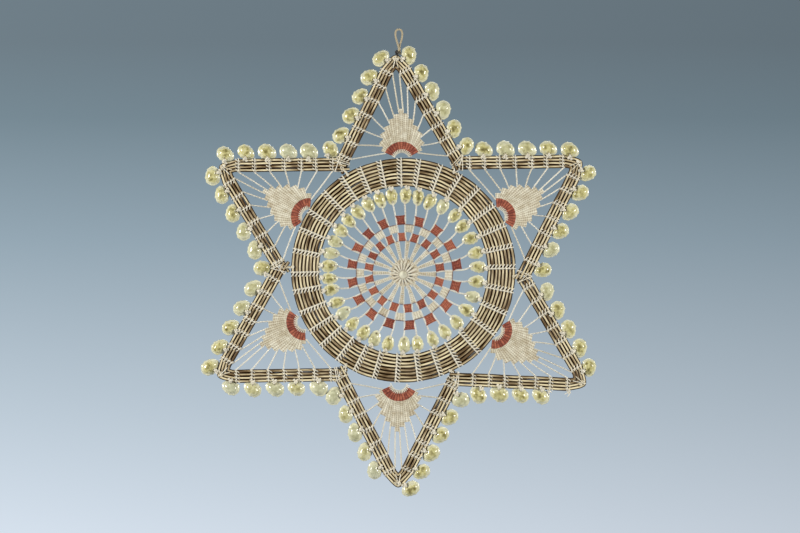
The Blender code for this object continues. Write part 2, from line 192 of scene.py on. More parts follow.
def rounded(share: np.ndarray, power: float, root: float = 0.5) -> np.ndarray:
    """Rounded profile: 1 in the middle, falling to 0 at shares of -1 and 1."""
    return np.clip(1 - np.abs(share) ** power, 0, 1) ** root


def store(mesh: bpy.types.Mesh, name: str, values: Any) -> None:
    """Store one number or one vector for each point of a mesh."""
    numbers = np.asarray(values, np.float32)
    vectors = numbers.ndim > 1 and numbers.shape[1] == 3
    attribute = mesh.attributes.new(name, "FLOAT_VECTOR" if vectors else "FLOAT", "POINT")
    attribute.data.foreach_set("vector" if vectors else "value", numbers.ravel())


def flowing(points: Sequence[np.ndarray], per_span: int = 5, closed: bool = False) -> np.ndarray:
    """Smooth line through points.

    Args:
        points: the points that the line passes, in order.
        per_span: steps between two points.
        closed: whether the line comes back to its start.

    Returns:
        The points of the line, one row each.
    """
    knots = np.array(points, float)
    count = len(knots)
    ahead = np.roll(knots, -1, 0)
    behind = np.roll(knots, 1, 0)
    if not closed:
        ahead[-1] = 2 * knots[-1] - knots[-2]
        behind[0] = 2 * knots[0] - knots[1]
    slopes = (ahead - behind) / 2
    line = []
    for index in range(count if closed else count - 1):
        other = (index + 1) % count
        for share in np.arange(per_span) / per_span:
            square, cube = share**2, share**3
            near = (2 * cube - 3 * square + 1) * knots[index] + (cube - 2 * square + share) * slopes[index]
            line.append(near + (3 * square - 2 * cube) * knots[other] + (cube - square) * slopes[other])
    if not closed:
        line.append(knots[-1])
    return np.array(line)


def wander(rng: np.random.Generator, samples: int, knots: int, closed: bool = False) -> np.ndarray:
    """Smooth random values between -1 and 1 along a line."""
    values = rng.uniform(-1, 1, knots)
    if closed:
        values[-1] = values[0]
    places = np.linspace(0, knots - 1, samples, endpoint=not closed)
    low = np.minimum(places.astype(int), knots - 2)
    share = places - low
    share = share * share * (3 - 2 * share)
    return values[low] * (1 - share) + values[low + 1] * share


@dataclass(frozen=True)
class Leg:
    """Inner edge of a leg: its start at the bend, its directions, its lengths and its mitre."""

    start: np.ndarray
    along: np.ndarray
    out: np.ndarray
    inner_length: float
    outer_length: float

    def place(self, distance: float, across: float) -> np.ndarray:
        """Place on the leg at a distance from the bend and from the inner edge."""
        return self.start + self.along * distance + self.out * across

    def length(self, share: float) -> float:
        """Length of the leg up to the mitre, at a share of its width from the inner edge."""
        return self.inner_length + share * (self.outer_length - self.inner_length)

    @property
    def angle(self) -> float:
        """Clock angle of the direction from the inner edge to the outer one."""
        return clock_angle(self.out)


@dataclass
class StarLayout:
    """Where the pieces of the star lie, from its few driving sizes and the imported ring."""

    ring_centre: np.ndarray
    ring_inner: float = 84.0 * MM
    ring_outer: float = 112.0 * MM
    ring_rows: int = 8
    leg_ribs: int = 4
    leg_rib_width: float = 3.3 * MM
    crown_bend: float = 1.0 * MM
    leg_lashings: int = 7
    first_lashing: float = 6.0 * MM
    lashing_pitch: float = 15.6 * MM
    gap: float = 0.3 * MM
    inner_cowries: int = 34
    first_spoke: float = 351.6
    crowding_lean: float = 3.9
    crowding_phase: float = 32.0
    web_crowding: float = 6.0
    cowrie_crowding: float = 5.7
    web_aside: float = 1.2 * MM
    web_below: float = 2.3 * MM

    @classmethod
    def from_frame(cls) -> StarLayout:
        """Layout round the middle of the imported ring."""
        low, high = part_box("ring_of_ribs")
        return cls(ring_centre=np.array(((low.x + high.x) / 2, (low.z + high.z) / 2)))

    @property
    def leg_width(self) -> float:
        """Width of a leg over all its ribs."""
        return self.leg_ribs * self.leg_rib_width

    @property
    def row_width(self) -> float:
        """Width of one rib of the ring."""
        return (self.ring_outer - self.ring_inner) / self.ring_rows

    @property
    def fan_threads(self) -> int:
        """Threads of one fan: one for each lashing of the point's two legs."""
        return 2 * self.leg_lashings

    def lashing(self, number: int) -> float:
        """Distance of one lashing of a leg from the bend."""
        return self.first_lashing + self.lashing_pitch * number

    @property
    def web_centre(self) -> np.ndarray:
        """Middle of the web, which hangs a little off the ring's."""
        return self.ring_centre + np.array((self.web_aside, -self.web_below))

    def crown_centre(self, index: int) -> np.ndarray:
        """Middle of the bend at the tip of a point."""
        point = POINTS[index]
        return self.ring_centre + clock(point.angle) * (point.reach * MM - self.leg_width - self.crown_bend)

    def edge(self, index: int, side: Side) -> tuple[np.ndarray, np.ndarray, np.ndarray]:
        """Inner edge of a leg: where it starts, its direction and the direction outwards."""
        corner = CORNERS[index if side is Side.RIGHT else index - 1]
        foot = self.ring_centre + clock(corner.angle) * (self.ring_outer + corner.standoff * MM)
        centre = self.crown_centre(index)
        span = foot - centre
        length = float(np.linalg.norm(span))
        straight = span / length
        sideways = np.array((-straight[1], straight[0])) * side.value
        swing = math.asin(self.crown_bend / length)
        along = straight * math.cos(swing) - sideways * math.sin(swing)
        out = sideways * math.cos(swing) + straight * math.sin(swing)
        return centre + out * self.crown_bend, along, out

    def leg(self, index: int, side: Side) -> Leg:
        """Leg of a point, with the lengths of its edges up to the next point's leg."""
        other = (index + side.value) % len(POINTS)
        start, along, out = self.edge(index, side)
        other_start, other_along, other_out = self.edge(other, Side(-side.value))
        inner = meeting(start, along, other_start, other_along)
        other_outer = other_start + other_out * self.leg_width
        outer = meeting(start + out * self.leg_width, along, other_outer, other_along)
        return Leg(start, along, out, float((inner - start) @ along), float((outer - start) @ along))

    def spoke(self, number: int, crowding: float) -> float:
        """Clock angle of a spoke; the spokes crowd together at the upper left."""
        angle = self.first_spoke + number * 360.0 / self.inner_cowries
        crowded = crowding * math.cos(math.radians(angle - self.crowding_phase))
        return angle + self.crowding_lean - crowded


class MeshDraft:
    """Gathers the points, faces and point values of one piece."""

    def __init__(self, *channels: str) -> None:
        self.channels = channels
        self.points: list[np.ndarray] = []
        self.faces: list[list[int]] = []
        self.values: dict[str, list[np.ndarray]] = {channel: [] for channel in channels}
        self.count = 0

    def add_grid(self, points: np.ndarray, wrap_rows: bool = False, wrap_columns: bool = True,
                 caps: bool = False, **values: Any) -> None:
        """Add a grid of points and its faces.

        Args:
            points: rows by columns by three.
            wrap_rows: whether the last row joins the first.
            wrap_columns: whether the last column joins the first.
            caps: whether the first and last rows are closed with a face each.
            values: for each channel, one number, or rows by columns of numbers or of vectors.
        """
        rows, columns = points.shape[:2]
        index = np.arange(rows * columns).reshape(rows, columns) + self.count
        near, far = (index, np.roll(index, -1, 0)) if wrap_rows else (index[:-1], index[1:])
        if wrap_columns:
            quads = np.stack((near, np.roll(near, -1, 1), np.roll(far, -1, 1), far), -1)
        else:
            quads = np.stack((near[:, :-1], near[:, 1:], far[:, 1:], far[:, :-1]), -1)
        self.faces.extend(quads.reshape(-1, 4).tolist())
        if caps:
            self.faces.append(index[0, ::-1].tolist())
            self.faces.append(index[-1].tolist())
        self.points.append(points.reshape(-1, 3))
        for channel in self.channels:
            value = np.asarray(values[channel], float)
            shape = (rows, columns, 3) if channel == "grain" else (rows, columns)
            flat = np.broadcast_to(value, shape).reshape(rows * columns, -1)
            self.values[channel].append(flat)
        self.count += rows * columns

    def add_sheet(self, plane: np.ndarray, height: np.ndarray, tone: np.ndarray, crest: np.ndarray,
                  dye: Any) -> None:
        """Add a woven sheet that is alike on both faces.

        Args:
            plane: places in the plane, rows by columns by two.
            height: half its thickness at each of them.
            tone: brightness of the thread, spread over the rows and columns.
            crest: how near each place lies to the crest of a thread; the finish paints shade where it is low.
            dye: 1 for red thread, 0 for cream.
        """
        grid = np.concatenate((raised(plane, height), raised(plane, -height)[:, ::-1]), 1)
        doubled = [np.broadcast_to(value, height.shape) for value in (tone, crest)]
        tone, crest = (np.concatenate((value, value[:, ::-1]), 1) for value in doubled)
        self.add_grid(grid, caps=True, tone=tone, crest=crest, dye=dye)

    def build(self, name: str, material: bpy.types.Material, weld: float = 0.0) -> bpy.types.Object:
        """Make the object, with its faces turned outwards.

        Args:
            name: the piece's name.
            material: its finish.
            weld: distance under which points are joined, or 0 to join none.

        Returns:
            The new object, at the origin.
        """
        mesh = bpy.data.meshes.new(name)
        mesh.from_pydata(np.concatenate(self.points).tolist(), [], self.faces)
        for channel in self.channels:
            store(mesh, channel, np.concatenate(self.values[channel]))
        shape = bmesh.new()
        shape.from_mesh(mesh)
        if weld:
            bmesh.ops.remove_doubles(shape, verts=shape.verts, dist=weld)
        bmesh.ops.recalc_face_normals(shape, faces=shape.faces)
        shape.to_mesh(mesh)
        shape.free()
        mesh.polygons.foreach_set("use_smooth", [True] * len(mesh.polygons))
        mesh.materials.append(material)
        return link_object(name, mesh)


def link_object(name: str, data: bpy.types.ID | None) -> bpy.types.Object:
    """New object in the scene."""
    item = bpy.data.objects.new(name, data)
    bpy.context.scene.collection.objects.link(item)
    return item


class Canvas:
    """Short ways to place and join the nodes of one tree."""

    def __init__(self, tree: bpy.types.NodeTree) -> None:
        self.tree = tree

    def node(self, kind: str, inputs: dict[Any, Any] | None = None, **settings: Any) -> bpy.types.Node:
        """Place a node.

        Args:
            kind: the node's type.
            inputs: for each input's name or number, a plain value or the output that feeds it.
            settings: the node's own properties.

        Returns:
            The node.
        """
        made = self.tree.nodes.new(kind)
        for key, value in settings.items():
            setattr(made, key, value)
        for key, value in (inputs or {}).items():
            self.put(made, key, value)
        return made

    def out(self, kind: str, inputs: dict[Any, Any] | None = None, **settings: Any) -> bpy.types.NodeSocket:
        """Place a node and give its first output."""
        return self.node(kind, inputs, **settings).outputs[0]

    def math(self, operation: str, first: Any, second: Any = 0.0) -> bpy.types.NodeSocket:
        """Output of a Math node."""
        return self.out("ShaderNodeMath", {0: first, 1: second}, operation=operation)

    def times(self, first: Any, second: Any) -> bpy.types.NodeSocket:
        """Product of two values."""
        return self.math("MULTIPLY", first, second)

    def plus(self, first: Any, second: Any) -> bpy.types.NodeSocket:
        """Sum of two values."""
        return self.math("ADD", first, second)

    def centred(self, value: Any, reach: float) -> bpy.types.NodeSocket:
        """A value between 0 and 1 moved to lie round 0, and stretched."""
        return self.times(self.math("SUBTRACT", value, 0.5), reach)

    def rest(self, value: Any) -> bpy.types.NodeSocket:
        """What a value leaves up to 1."""
        return self.math("SUBTRACT", 1.0, value)

    def feed(self, shader: bpy.types.Node, **inputs: Any) -> None:
        """Set inputs of a shader, named with underscores, to plain values or outputs."""
        for name, value in inputs.items():
            self.put(shader, name.replace("_", " "), value)

    def put(self, made: bpy.types.Node, key: Any, value: Any) -> None:
        """Give one input of a node a plain value or the output that feeds it."""
        if isinstance(value, bpy.types.NodeSocket):
            self.tree.links.new(value, made.inputs[key])
        else:
            made.inputs[key].default_value = value

    def mix(self, share: Any, first: Any, second: Any, blend: str = "MIX") -> bpy.types.NodeSocket:
        """Output of a Mix node on colours, which are tuples or outputs."""
        inputs = {0: share, 6: self.opaque(first), 7: self.opaque(second)}
        return self.node("ShaderNodeMix", inputs, data_type="RGBA", blend_type=blend).outputs[2]

    def ramp(self, value: Any, low: float, high: float) -> bpy.types.NodeSocket:
        """A value carried from the stretch between two limits to 0 and 1."""
        inputs = {"Value": value, "From Min": low, "From Max": high}
        return self.out("ShaderNodeMapRange", inputs, interpolation_type="SMOOTHSTEP")

    def value(self, name: str) -> bpy.types.NodeSocket:
        """A point value of the mesh."""
        return self.node("ShaderNodeAttribute", attribute_name=name).outputs["Fac"]

    @staticmethod
    def opaque(colour: Any) -> Any:
        """A colour with full alpha, or an output as it is."""
        return colour if isinstance(colour, bpy.types.NodeSocket) else (*colour, 1.0)


class SharedEffects:
    """Node groups for the effects that more than one finish uses."""

    def __init__(self) -> None:
        self.fibres = self.fibre_group()
        self.handling = self.handling_group()

    @staticmethod
    def new_group(name: str, inputs: dict[str, Any], outputs: dict[str, str]) -> Canvas:
        """Empty shader group with an input for each number, colour or vector, and its outputs."""
        tree = bpy.data.node_groups.new(name, "ShaderNodeTree")
        kinds = {float: "NodeSocketFloat", tuple: "NodeSocketColor", type(None): "NodeSocketVector"}
        for label, value in inputs.items():
            socket = tree.interface.new_socket(label, in_out="INPUT", socket_type=kinds[type(value)])
            if value is not None:
                socket.default_value = value
        for label, kind in outputs.items():
            tree.interface.new_socket(label, in_out="OUTPUT", socket_type="NodeSocket" + kind)
        return Canvas(tree)

    def fibre_group(self) -> bpy.types.NodeTree:
        """Long streaks along a grain: the first axis of the vector runs with the fibres."""
        canvas = self.new_group("fibre_streaks", {"Vector": None, "Length": 60.0, "Fineness": 900.0},
                                {"Streaks": "Float", "Fine": "Float"})
        start = canvas.node("NodeGroupInput").outputs
        split = canvas.node("ShaderNodeSeparateXYZ", {0: start["Vector"]}).outputs
        along = canvas.times(split[0], start["Length"])
        results = []
        for factor in (1.0, 2.6):
            fineness = canvas.times(start["Fineness"], factor)
            sides = {number: canvas.times(split[number], fineness) for number in (1, 2)}
            stretched = canvas.out("ShaderNodeCombineXYZ", {0: along, **sides})
            inputs = {"Vector": stretched, "Scale": 1.0, "Detail": 3.0, "Roughness": 0.6}
            results.append(canvas.node("ShaderNodeTexNoise", inputs).outputs["Fac"])
        canvas.node("NodeGroupOutput", {"Streaks": results[0], "Fine": results[1]})
        return canvas.tree

    def handling_group(self) -> bpy.types.NodeTree:
        """Blotches of age and dust over a colour, with a fine grain for the bump."""
        canvas = self.new_group("age_and_dust",
                                {"Colour": (1.0, 1.0, 1.0, 1.0), "Dust": (0.5, 0.4, 0.3, 1.0), "Amount": 0.3,
                                 "Patch Scale": 60.0, "Grain Scale": 1500.0},
                                {"Colour": "Color", "Grain": "Float"})
        start = canvas.node("NodeGroupInput").outputs
        places = canvas.node("ShaderNodeTexCoord").outputs["Object"]
        patches = canvas.node("ShaderNodeTexNoise", {"Vector": places, "Scale": start["Patch Scale"],
                                                     "Detail": 4.0, "Roughness": 0.65})
        share = canvas.times(canvas.ramp(patches.outputs["Fac"], 0.42, 0.72), start["Amount"])
        mixed = canvas.mix(share, start["Colour"], start["Dust"])
        grain = canvas.node("ShaderNodeTexNoise", {"Vector": places, "Scale": start["Grain Scale"],
                                                   "Detail": 2.0, "Roughness": 0.5})
        canvas.node("NodeGroupOutput", {"Colour": mixed, "Grain": grain.outputs["Fac"]})
        return canvas.tree


class Finish:
    """Base of the finishes: makes a material round one Principled shader."""

    name = "finish"

    def start(self) -> tuple[Canvas, bpy.types.Node, bpy.types.Material]:
        """New material with its canvas and shader."""
        material = bpy.data.materials.new(self.name)
        material.use_nodes = True
        canvas = Canvas(material.node_tree)
        return canvas, material.node_tree.nodes["Principled BSDF"], material

    @staticmethod
    def aged(canvas: Canvas, effects: SharedEffects, colour: Any, dust: Colour, amount: float,
             patches: float, grain: float) -> bpy.types.Node:
        """The shared age and dust over a colour."""
        inputs = {"Colour": colour, "Dust": (*dust, 1.0), "Amount": amount, "Patch Scale": patches,
                  "Grain Scale": grain}
        return canvas.node("ShaderNodeGroup", inputs, node_tree=effects.handling)

    @staticmethod
    def bump(canvas: Canvas, shader: bpy.types.Node, height: Any, strength: float, distance: float) -> None:
        """Bump on the shader's normal."""
        inputs = {"Height": height, "Strength": strength, "Distance": distance}
        canvas.feed(shader, Normal=canvas.out("ShaderNodeBump", inputs))


@dataclass(frozen=True)
class LeafRibFinish(Finish):
    """Scraped leaf ribs, brown to pale and streaked along the fibre, with a painted highlight along their
    crests and painted shade on their sides and in the gaps between them.
    """

    name: str = "leaf_rib_finish"
    # Colour of the painted highlight along the crests of the ribs.
    painted_crest_highlight: Colour = (0.97, 0.86, 0.57)
    pale: Colour = (0.68, 0.51, 0.25)
    tan: Colour = (0.34, 0.22, 0.09)
    brown: Colour = (0.115, 0.064, 0.02)
    # Near-black painted shade on the sides of the ribs and in the gaps between them.
    gap: Colour = (0.016, 0.007, 0.002)

    def make(self, effects: SharedEffects) -> bpy.types.Material:
        """Material of the ribs, which reads their grain, tone and crest values."""
        canvas, shader, material = self.start()
        grain = canvas.node("ShaderNodeAttribute", attribute_name="grain").outputs["Vector"]
        fibres = canvas.node("ShaderNodeGroup", {"Vector": grain}, node_tree=effects.fibres)
        streaks = fibres.outputs["Streaks"]
        tone = canvas.plus(canvas.value("tone"), canvas.centred(streaks, 1.5))
        body = canvas.mix(canvas.ramp(tone, 0.05, 0.55), self.brown, self.tan)
        body = canvas.mix(canvas.ramp(tone, 0.45, 1.0), body, self.pale)
        fine = canvas.ramp(fibres.outputs["Fine"], 0.35, 0.6)
        body = canvas.mix(canvas.times(canvas.rest(fine), 0.35), body, self.brown)
        crest = canvas.value("crest")
        # Painted highlight: near-white along the crest of each rib, stronger on paler ribs.
        painted_highlight_share = canvas.times(canvas.ramp(crest, 0.86, 0.96), canvas.ramp(tone, 0.15, 0.75))
        body = canvas.mix(canvas.times(painted_highlight_share, 0.8), body, self.painted_crest_highlight)
        # Painted shade: away from the crest the colour goes to the near-black gap colour, and the specular
        # level drops there too.
        clear_of_painted_shade = canvas.ramp(crest, 0.76, 0.96)
        body = canvas.mix(clear_of_painted_shade, self.gap, body)
        aged = self.aged(canvas, effects, body, (0.30, 0.22, 0.14), 0.25, 45.0, 2200.0)
        rough = canvas.out("ShaderNodeMapRange", {"Value": streaks, "To Min": 0.36, "To Max": 0.62})
        canvas.feed(shader, Base_Color=aged.outputs["Colour"], Roughness=rough,
                    Specular_IOR_Level=canvas.times(clear_of_painted_shade, 0.5))
        self.bump(canvas, shader, streaks, 0.5, 0.0004)
        return material


@dataclass(frozen=True)
class ThreadFinish(Finish):
    """Hand-twisted thread: light plies with painted shade in the lay between them, and a matt, slightly hairy
    skin.
    """

    name: str = "cream_thread_finish"
    light: Colour = (0.93, 0.89, 0.77)
    # Dark end of the thread's tone, and also the painted shade in the lay between the plies.
    deep_tone_and_lay_shade: Colour = (0.72, 0.63, 0.44)
    dust: Colour = (0.46, 0.36, 0.24)
    dirt: float = 0.22

    def make(self, effects: SharedEffects) -> bpy.types.Material:
        """Material of a thread, which reads its tone and its length along the thread."""
        canvas, shader, material = self.start()
        # Painted shade: a wave along the thread darkens the lay between the plies; the same wave drives the
        # bump.
        plies = canvas.math("SINE", canvas.times(canvas.value("along"), 4200.0))
        lay = canvas.plus(canvas.times(plies, 0.18), canvas.value("tone"))
        body = canvas.mix(canvas.ramp(lay, 0.0, 0.7), self.deep_tone_and_lay_shade, self.light)
        aged = self.aged(canvas, effects, body, self.dust, self.dirt, 120.0, 2600.0)
        canvas.feed(shader, Base_Color=aged.outputs["Colour"], Roughness=0.85, Sheen_Weight=0.15)
        height = canvas.plus(canvas.times(plies, 0.3), aged.outputs["Grain"])
        self.bump(canvas, shader, height, 0.5, 0.0002)
        return material


@dataclass(frozen=True)
class WovenFinish(Finish):
    """Needle weaving in cream thread with red-brown bands and squares, with painted shade in the valleys
    between the threads and in the pits of the hub.
    """

    name: str = "woven_finish"
    cream: Colour = (0.60, 0.54, 0.39)
    light: Colour = (0.86, 0.83, 0.68)
    red: Colour = (0.21, 0.038, 0.024)
    bright_red: Colour = (0.50, 0.155, 0.085)
    valley_shade: Colour = (0.5, 0.42, 0.36)
    pit_shade: Colour = (0.012, 0.008, 0.004)

    def make(self, effects: SharedEffects) -> bpy.types.Material:
        """Material of the weaving, which reads its dye, tone and crest values."""
        canvas, shader, material = self.start()
        aged = self.aged(canvas, effects, (1.0, 1.0, 1.0, 1.0), (0.66, 0.56, 0.45), 0.45, 140.0, 2600.0)
        grain = aged.outputs["Grain"]
        tone = canvas.plus(canvas.value("tone"), canvas.centred(grain, 1.2))
        share = canvas.ramp(tone, 0.1, 0.9)
        cream = canvas.mix(share, self.cream, self.light)
        red = canvas.mix(share, self.red, self.bright_red)
        body = canvas.mix(canvas.value("dye"), cream, red)
        crest = canvas.value("crest")
        # Painted shade: low places between the threads are darkened.
        low = canvas.rest(canvas.ramp(crest, 0.1, 0.8))
        body = canvas.mix(canvas.times(low, 0.9), body, self.valley_shade, "MULTIPLY")
        body = canvas.mix(1.0, body, aged.outputs["Colour"], "MULTIPLY")
        # Painted shade: where the crest value goes below 0, at the pits of the hub, the colour goes near
        # black.
        body = canvas.mix(canvas.ramp(crest, -0.9, -0.1), self.pit_shade, body)
        canvas.feed(shader, Base_Color=body, Roughness=0.9, Sheen_Weight=0.1)
        self.bump(canvas, shader, grain, 0.5, 0.0003)
        return material


@dataclass(frozen=True)
class CowrieFinish(Finish):
    """Polished cowrie: ivory callus, yellow flanks, an olive back, and painted shade in the slit and the
    pierced holes.
    """

    name: str = "cowrie_finish"
    ivory: Colour = (0.77, 0.75, 0.53)
    yellow: Colour = (0.66, 0.60, 0.25)
    grey_green: Colour = (0.58, 0.60, 0.43)
    # Colour of the painted shade in the slit and in the pierced holes.
    olive: Colour = (0.17, 0.14, 0.035)
    slit: Colour = (0.10, 0.05, 0.025)

    def make(self, effects: SharedEffects) -> bpy.types.Material:
        """Material of the shells, which reads their back, painted slit and hole shade, and tone values."""
        canvas, shader, material = self.start()
        places = canvas.node("ShaderNodeTexCoord").outputs["Object"]
        cloud = canvas.node("ShaderNodeTexNoise", {"Vector": places, "Scale": 230.0, "Detail": 4.0})
        back = canvas.plus(canvas.times(canvas.value("back"), 0.7), canvas.centred(cloud.outputs["Fac"], 2.1))
        tone = canvas.value("tone")
        hue = canvas.mix(canvas.ramp(tone, -0.1, 0.4), self.grey_green, self.yellow)
        body = canvas.mix(canvas.ramp(back, -0.1, 0.65), self.ivory, hue)
        shade = canvas.times(canvas.ramp(back, 0.4, 1.0), canvas.ramp(tone, -0.5, 0.8))
        body = canvas.mix(shade, body, self.olive)
        body = canvas.mix(canvas.value("slit"), body, self.slit)
        aged = self.aged(canvas, effects, body, (0.50, 0.44, 0.28), 0.25, 260.0, 1800.0)
        canvas.feed(shader, Base_Color=aged.outputs["Colour"], Roughness=0.28, Coat_Weight=0.7,
                    Coat_Roughness=0.12)
        self.bump(canvas, shader, aged.outputs["Grain"], 0.12, 0.0002)
        return material


class GuideTree:
    """Base of the Geometry Nodes trees, which make a finished mesh from a guide mesh."""

    title = "tree"
    inputs: dict[str, str] = {}

    def __init__(self) -> None:
        self.tree = bpy.data.node_groups.new(self.title, "GeometryNodeTree")
        face = self.tree.interface
        face.new_socket("Geometry", in_out="OUTPUT", socket_type="NodeSocketGeometry")
        face.new_socket("Geometry", in_out="INPUT", socket_type="NodeSocketGeometry")
        self.keys: dict[str, str] = {}
        for label, kind in {**self.inputs, "Material": "Material"}.items():
            socket = face.new_socket(label, in_out="INPUT", socket_type="NodeSocket" + kind)
            self.keys[label] = socket.identifier
        canvas = Canvas(self.tree)
        start = canvas.node("NodeGroupInput").outputs
        solid = canvas.out("GeometryNodeRealizeInstances", {"Geometry": self.wire(canvas, start)})
        dressed = {"Geometry": solid, "Material": start["Material"]}
        canvas.node("NodeGroupOutput", {0: canvas.out("GeometryNodeSetMaterial", dressed)})

    def wire(self, canvas: Canvas, start: Any) -> bpy.types.NodeSocket:
        """Join the tree's own nodes and give the geometry that they make."""
        raise NotImplementedError

    def grow(self, name: str, mesh: bpy.types.Mesh, chosen: dict[str, Any]) -> bpy.types.Object:
        """Plain mesh object that the tree makes from a guide mesh, which is removed."""
        guide = link_object(name + "_guide", mesh)
        modifier = guide.modifiers.new("Tree", "NODES")
        modifier.node_group = self.tree
        for label, value in chosen.items():
            modifier[self.keys[label]] = value
        graph = bpy.context.evaluated_depsgraph_get()
        made = bpy.data.meshes.new_from_object(guide.evaluated_get(graph))
        made.name = name
        bpy.data.objects.remove(guide)
        bpy.data.meshes.remove(mesh)
        return link_object(name, made)


class ThreadWork(GuideTree):
    """Turns paths into twisted thread."""

    title = "twisted_thread"
    inputs = {"Thickness": "Float", "Flatness": "Float", "Lay": "Float", "Step": "Float", "Sides": "Int"}

    def wire(self, canvas: Canvas, start: Any) -> bpy.types.NodeSocket:
        """Join the nodes: path, even steps, twist, section."""
        curve = canvas.out("GeometryNodeMeshToCurve", {"Mesh": start["Geometry"]})
        inputs = {"Curve": curve, "Length": start["Step"]}
        even = canvas.out("GeometryNodeResampleCurve", inputs, mode="LENGTH")
        length = canvas.node("GeometryNodeSplineParameter").outputs["Length"]
        inputs = {"Geometry": even, "Name": "along", "Value": length}
        stored = canvas.out("GeometryNodeStoreNamedAttribute", inputs, data_type="FLOAT", domain="POINT")
        turns = canvas.math("DIVIDE", canvas.times(length, TURN), start["Lay"])
        tilted = canvas.out("GeometryNodeSetCurveTilt", {"Curve": stored, "Tilt": turns})
        ring = canvas.out("GeometryNodeCurvePrimitiveCircle", {"Resolution": start["Sides"], "Radius": 0.5})
        depth = canvas.times(start["Thickness"], start["Flatness"])
        size = canvas.out("ShaderNodeCombineXYZ", {0: start["Thickness"], 1: depth, 2: 1.0})
        section = canvas.out("GeometryNodeTransform", {"Geometry": ring, "Scale": size})
        inputs = {"Curve": tilted, "Profile Curve": section, "Scale": 1.0, "Fill Caps": True}
        swept = canvas.out("GeometryNodeCurveToMesh", inputs)
        return canvas.out("GeometryNodeSetShadeSmooth", {"Geometry": swept})

    def make(self, name: str, paths: Sequence[np.ndarray], material: bpy.types.Material, thickness: float,
             lay: float = 2.6 * MM, flatness: float = 0.66, step: float = 0.75 * MM, sides: int = 7,
             tones: Sequence[float] | None = None, closed: Iterable[int] = ()) -> bpy.types.Object:
        """Make the threads along some paths as one mesh.

        Args:
            name: the piece's name.
            paths: the points that each thread follows.
            material: the threads' finish.
            thickness: width of a thread across its plies.
            lay: length in which the plies turn once.
            flatness: the plies' thickness as a share of the width.
            step: length between two sections.
            sides: corners of a section.
            tones: brightness of each thread, or None for an even one.
            closed: numbers of the paths that come back to their start.

        Returns:
            The new object, at the origin, without modifiers.
        """
        rings = set(closed)
        points = np.concatenate(paths)
        edges: list[tuple[int, int]] = []
        first = 0
        for number, path in enumerate(paths):
            last = first + len(path) - 1
            edges.extend((index, index + 1) for index in range(first, last))
            if number in rings:
                edges.append((last, first))
            first = last + 1
        mesh = bpy.data.meshes.new(name + "_paths")
        mesh.from_pydata(points.tolist(), edges, [])
        shades = tones if tones is not None else [0.5] * len(paths)
        tone = np.concatenate([np.full(len(path), shade) for path, shade in zip(paths, shades)])
        store(mesh, "tone", tone)
        return self.grow(name, mesh, {"Thickness": thickness, "Flatness": flatness, "Lay": lay, "Step": step,
                                      "Sides": sides, "Material": material})


class Bundle:
    """Paths of one piece of thread work, and the numbers of those that come back to their start."""

    def __init__(self) -> None:
        self.paths: list[np.ndarray] = []
        self.closed: list[int] = []

    def add(self, path: np.ndarray) -> None:
        """Add an open path."""
        self.paths.append(path)

    def add_closed(self, path: np.ndarray) -> None:
        """Add a path that comes back to its start."""
        self.closed.append(len(self.paths))
        self.paths.append(path)


@dataclass(frozen=True)
class Spot:
    """Where a copy of a unit goes: its place in space, its turn about Y in degrees and its size."""

    place: np.ndarray
    turn: float
    size: tuple[float, float, float] = (1.0, 1.0, 1.0)
    tone: float = 0.5


class Copier(GuideTree):
    """Sets copies of one unit on spots."""

    title = "copies_on_spots"
    inputs = {"Unit": "Object", "Sway": "Float", "Seed": "Int"}

    def wire(self, canvas: Canvas, start: Any) -> bpy.types.NodeSocket:
        """Join the nodes: spots, copies with a small sway, their tone."""
        unit = canvas.node("GeometryNodeObjectInfo", {"Object": start["Unit"]}).outputs["Geometry"]
        turn, size, shade = (
            canvas.out("GeometryNodeInputNamedAttribute", {"Name": name}, data_type=kind)
            for name, kind in (("turn", "FLOAT_VECTOR"), ("size", "FLOAT_VECTOR"), ("shade", "FLOAT")))
        spread = canvas.out("FunctionNodeRandomValue", {"Min": (-1.0, -1.0, -1.0), "Max": (1.0, 1.0, 1.0),
                                                        "Seed": start["Seed"]}, data_type="FLOAT_VECTOR")
        sway = canvas.out("ShaderNodeVectorMath", {0: spread, "Scale": start["Sway"]}, operation="SCALE")
        total = canvas.out("ShaderNodeVectorMath", {0: turn, 1: sway}, operation="ADD")
        rotation = canvas.out("FunctionNodeEulerToRotation", {0: total})
        copies = canvas.out("GeometryNodeInstanceOnPoints", {"Points": start["Geometry"], "Instance": unit,
                                                             "Rotation": rotation, "Scale": size})
        inputs = {"Geometry": copies, "Name": "tone", "Value": shade}
        return canvas.out("GeometryNodeStoreNamedAttribute", inputs, data_type="FLOAT", domain="INSTANCE")

    def make(self, name: str, unit: bpy.types.Object, spots: Sequence[Spot], material: bpy.types.Material,
             sway: float = 0.0, seed: int = 0) -> bpy.types.Object:
        """Make the copies as one mesh.

        Args:
            name: the piece's name.
            unit: the object that is copied, built round its own origin.
            spots: where the copies go.
            material: their finish.
            sway: largest random turn of a copy about each axis, in degrees.
            seed: seed of the random turns.

        Returns:
            The new object, at the origin, without modifiers.
        """
        mesh = bpy.data.meshes.new(name + "_spots")
        mesh.from_pydata([tuple(spot.place) for spot in spots], [], [])
        store(mesh, "turn", [(0.0, math.radians(spot.turn), 0.0) for spot in spots])
        store(mesh, "size", [spot.size for spot in spots])
        store(mesh, "shade", [spot.tone for spot in spots])
        return self.grow(name, mesh, {"Unit": unit, "Material": material, "Sway": math.radians(sway),
                                      "Seed": seed})


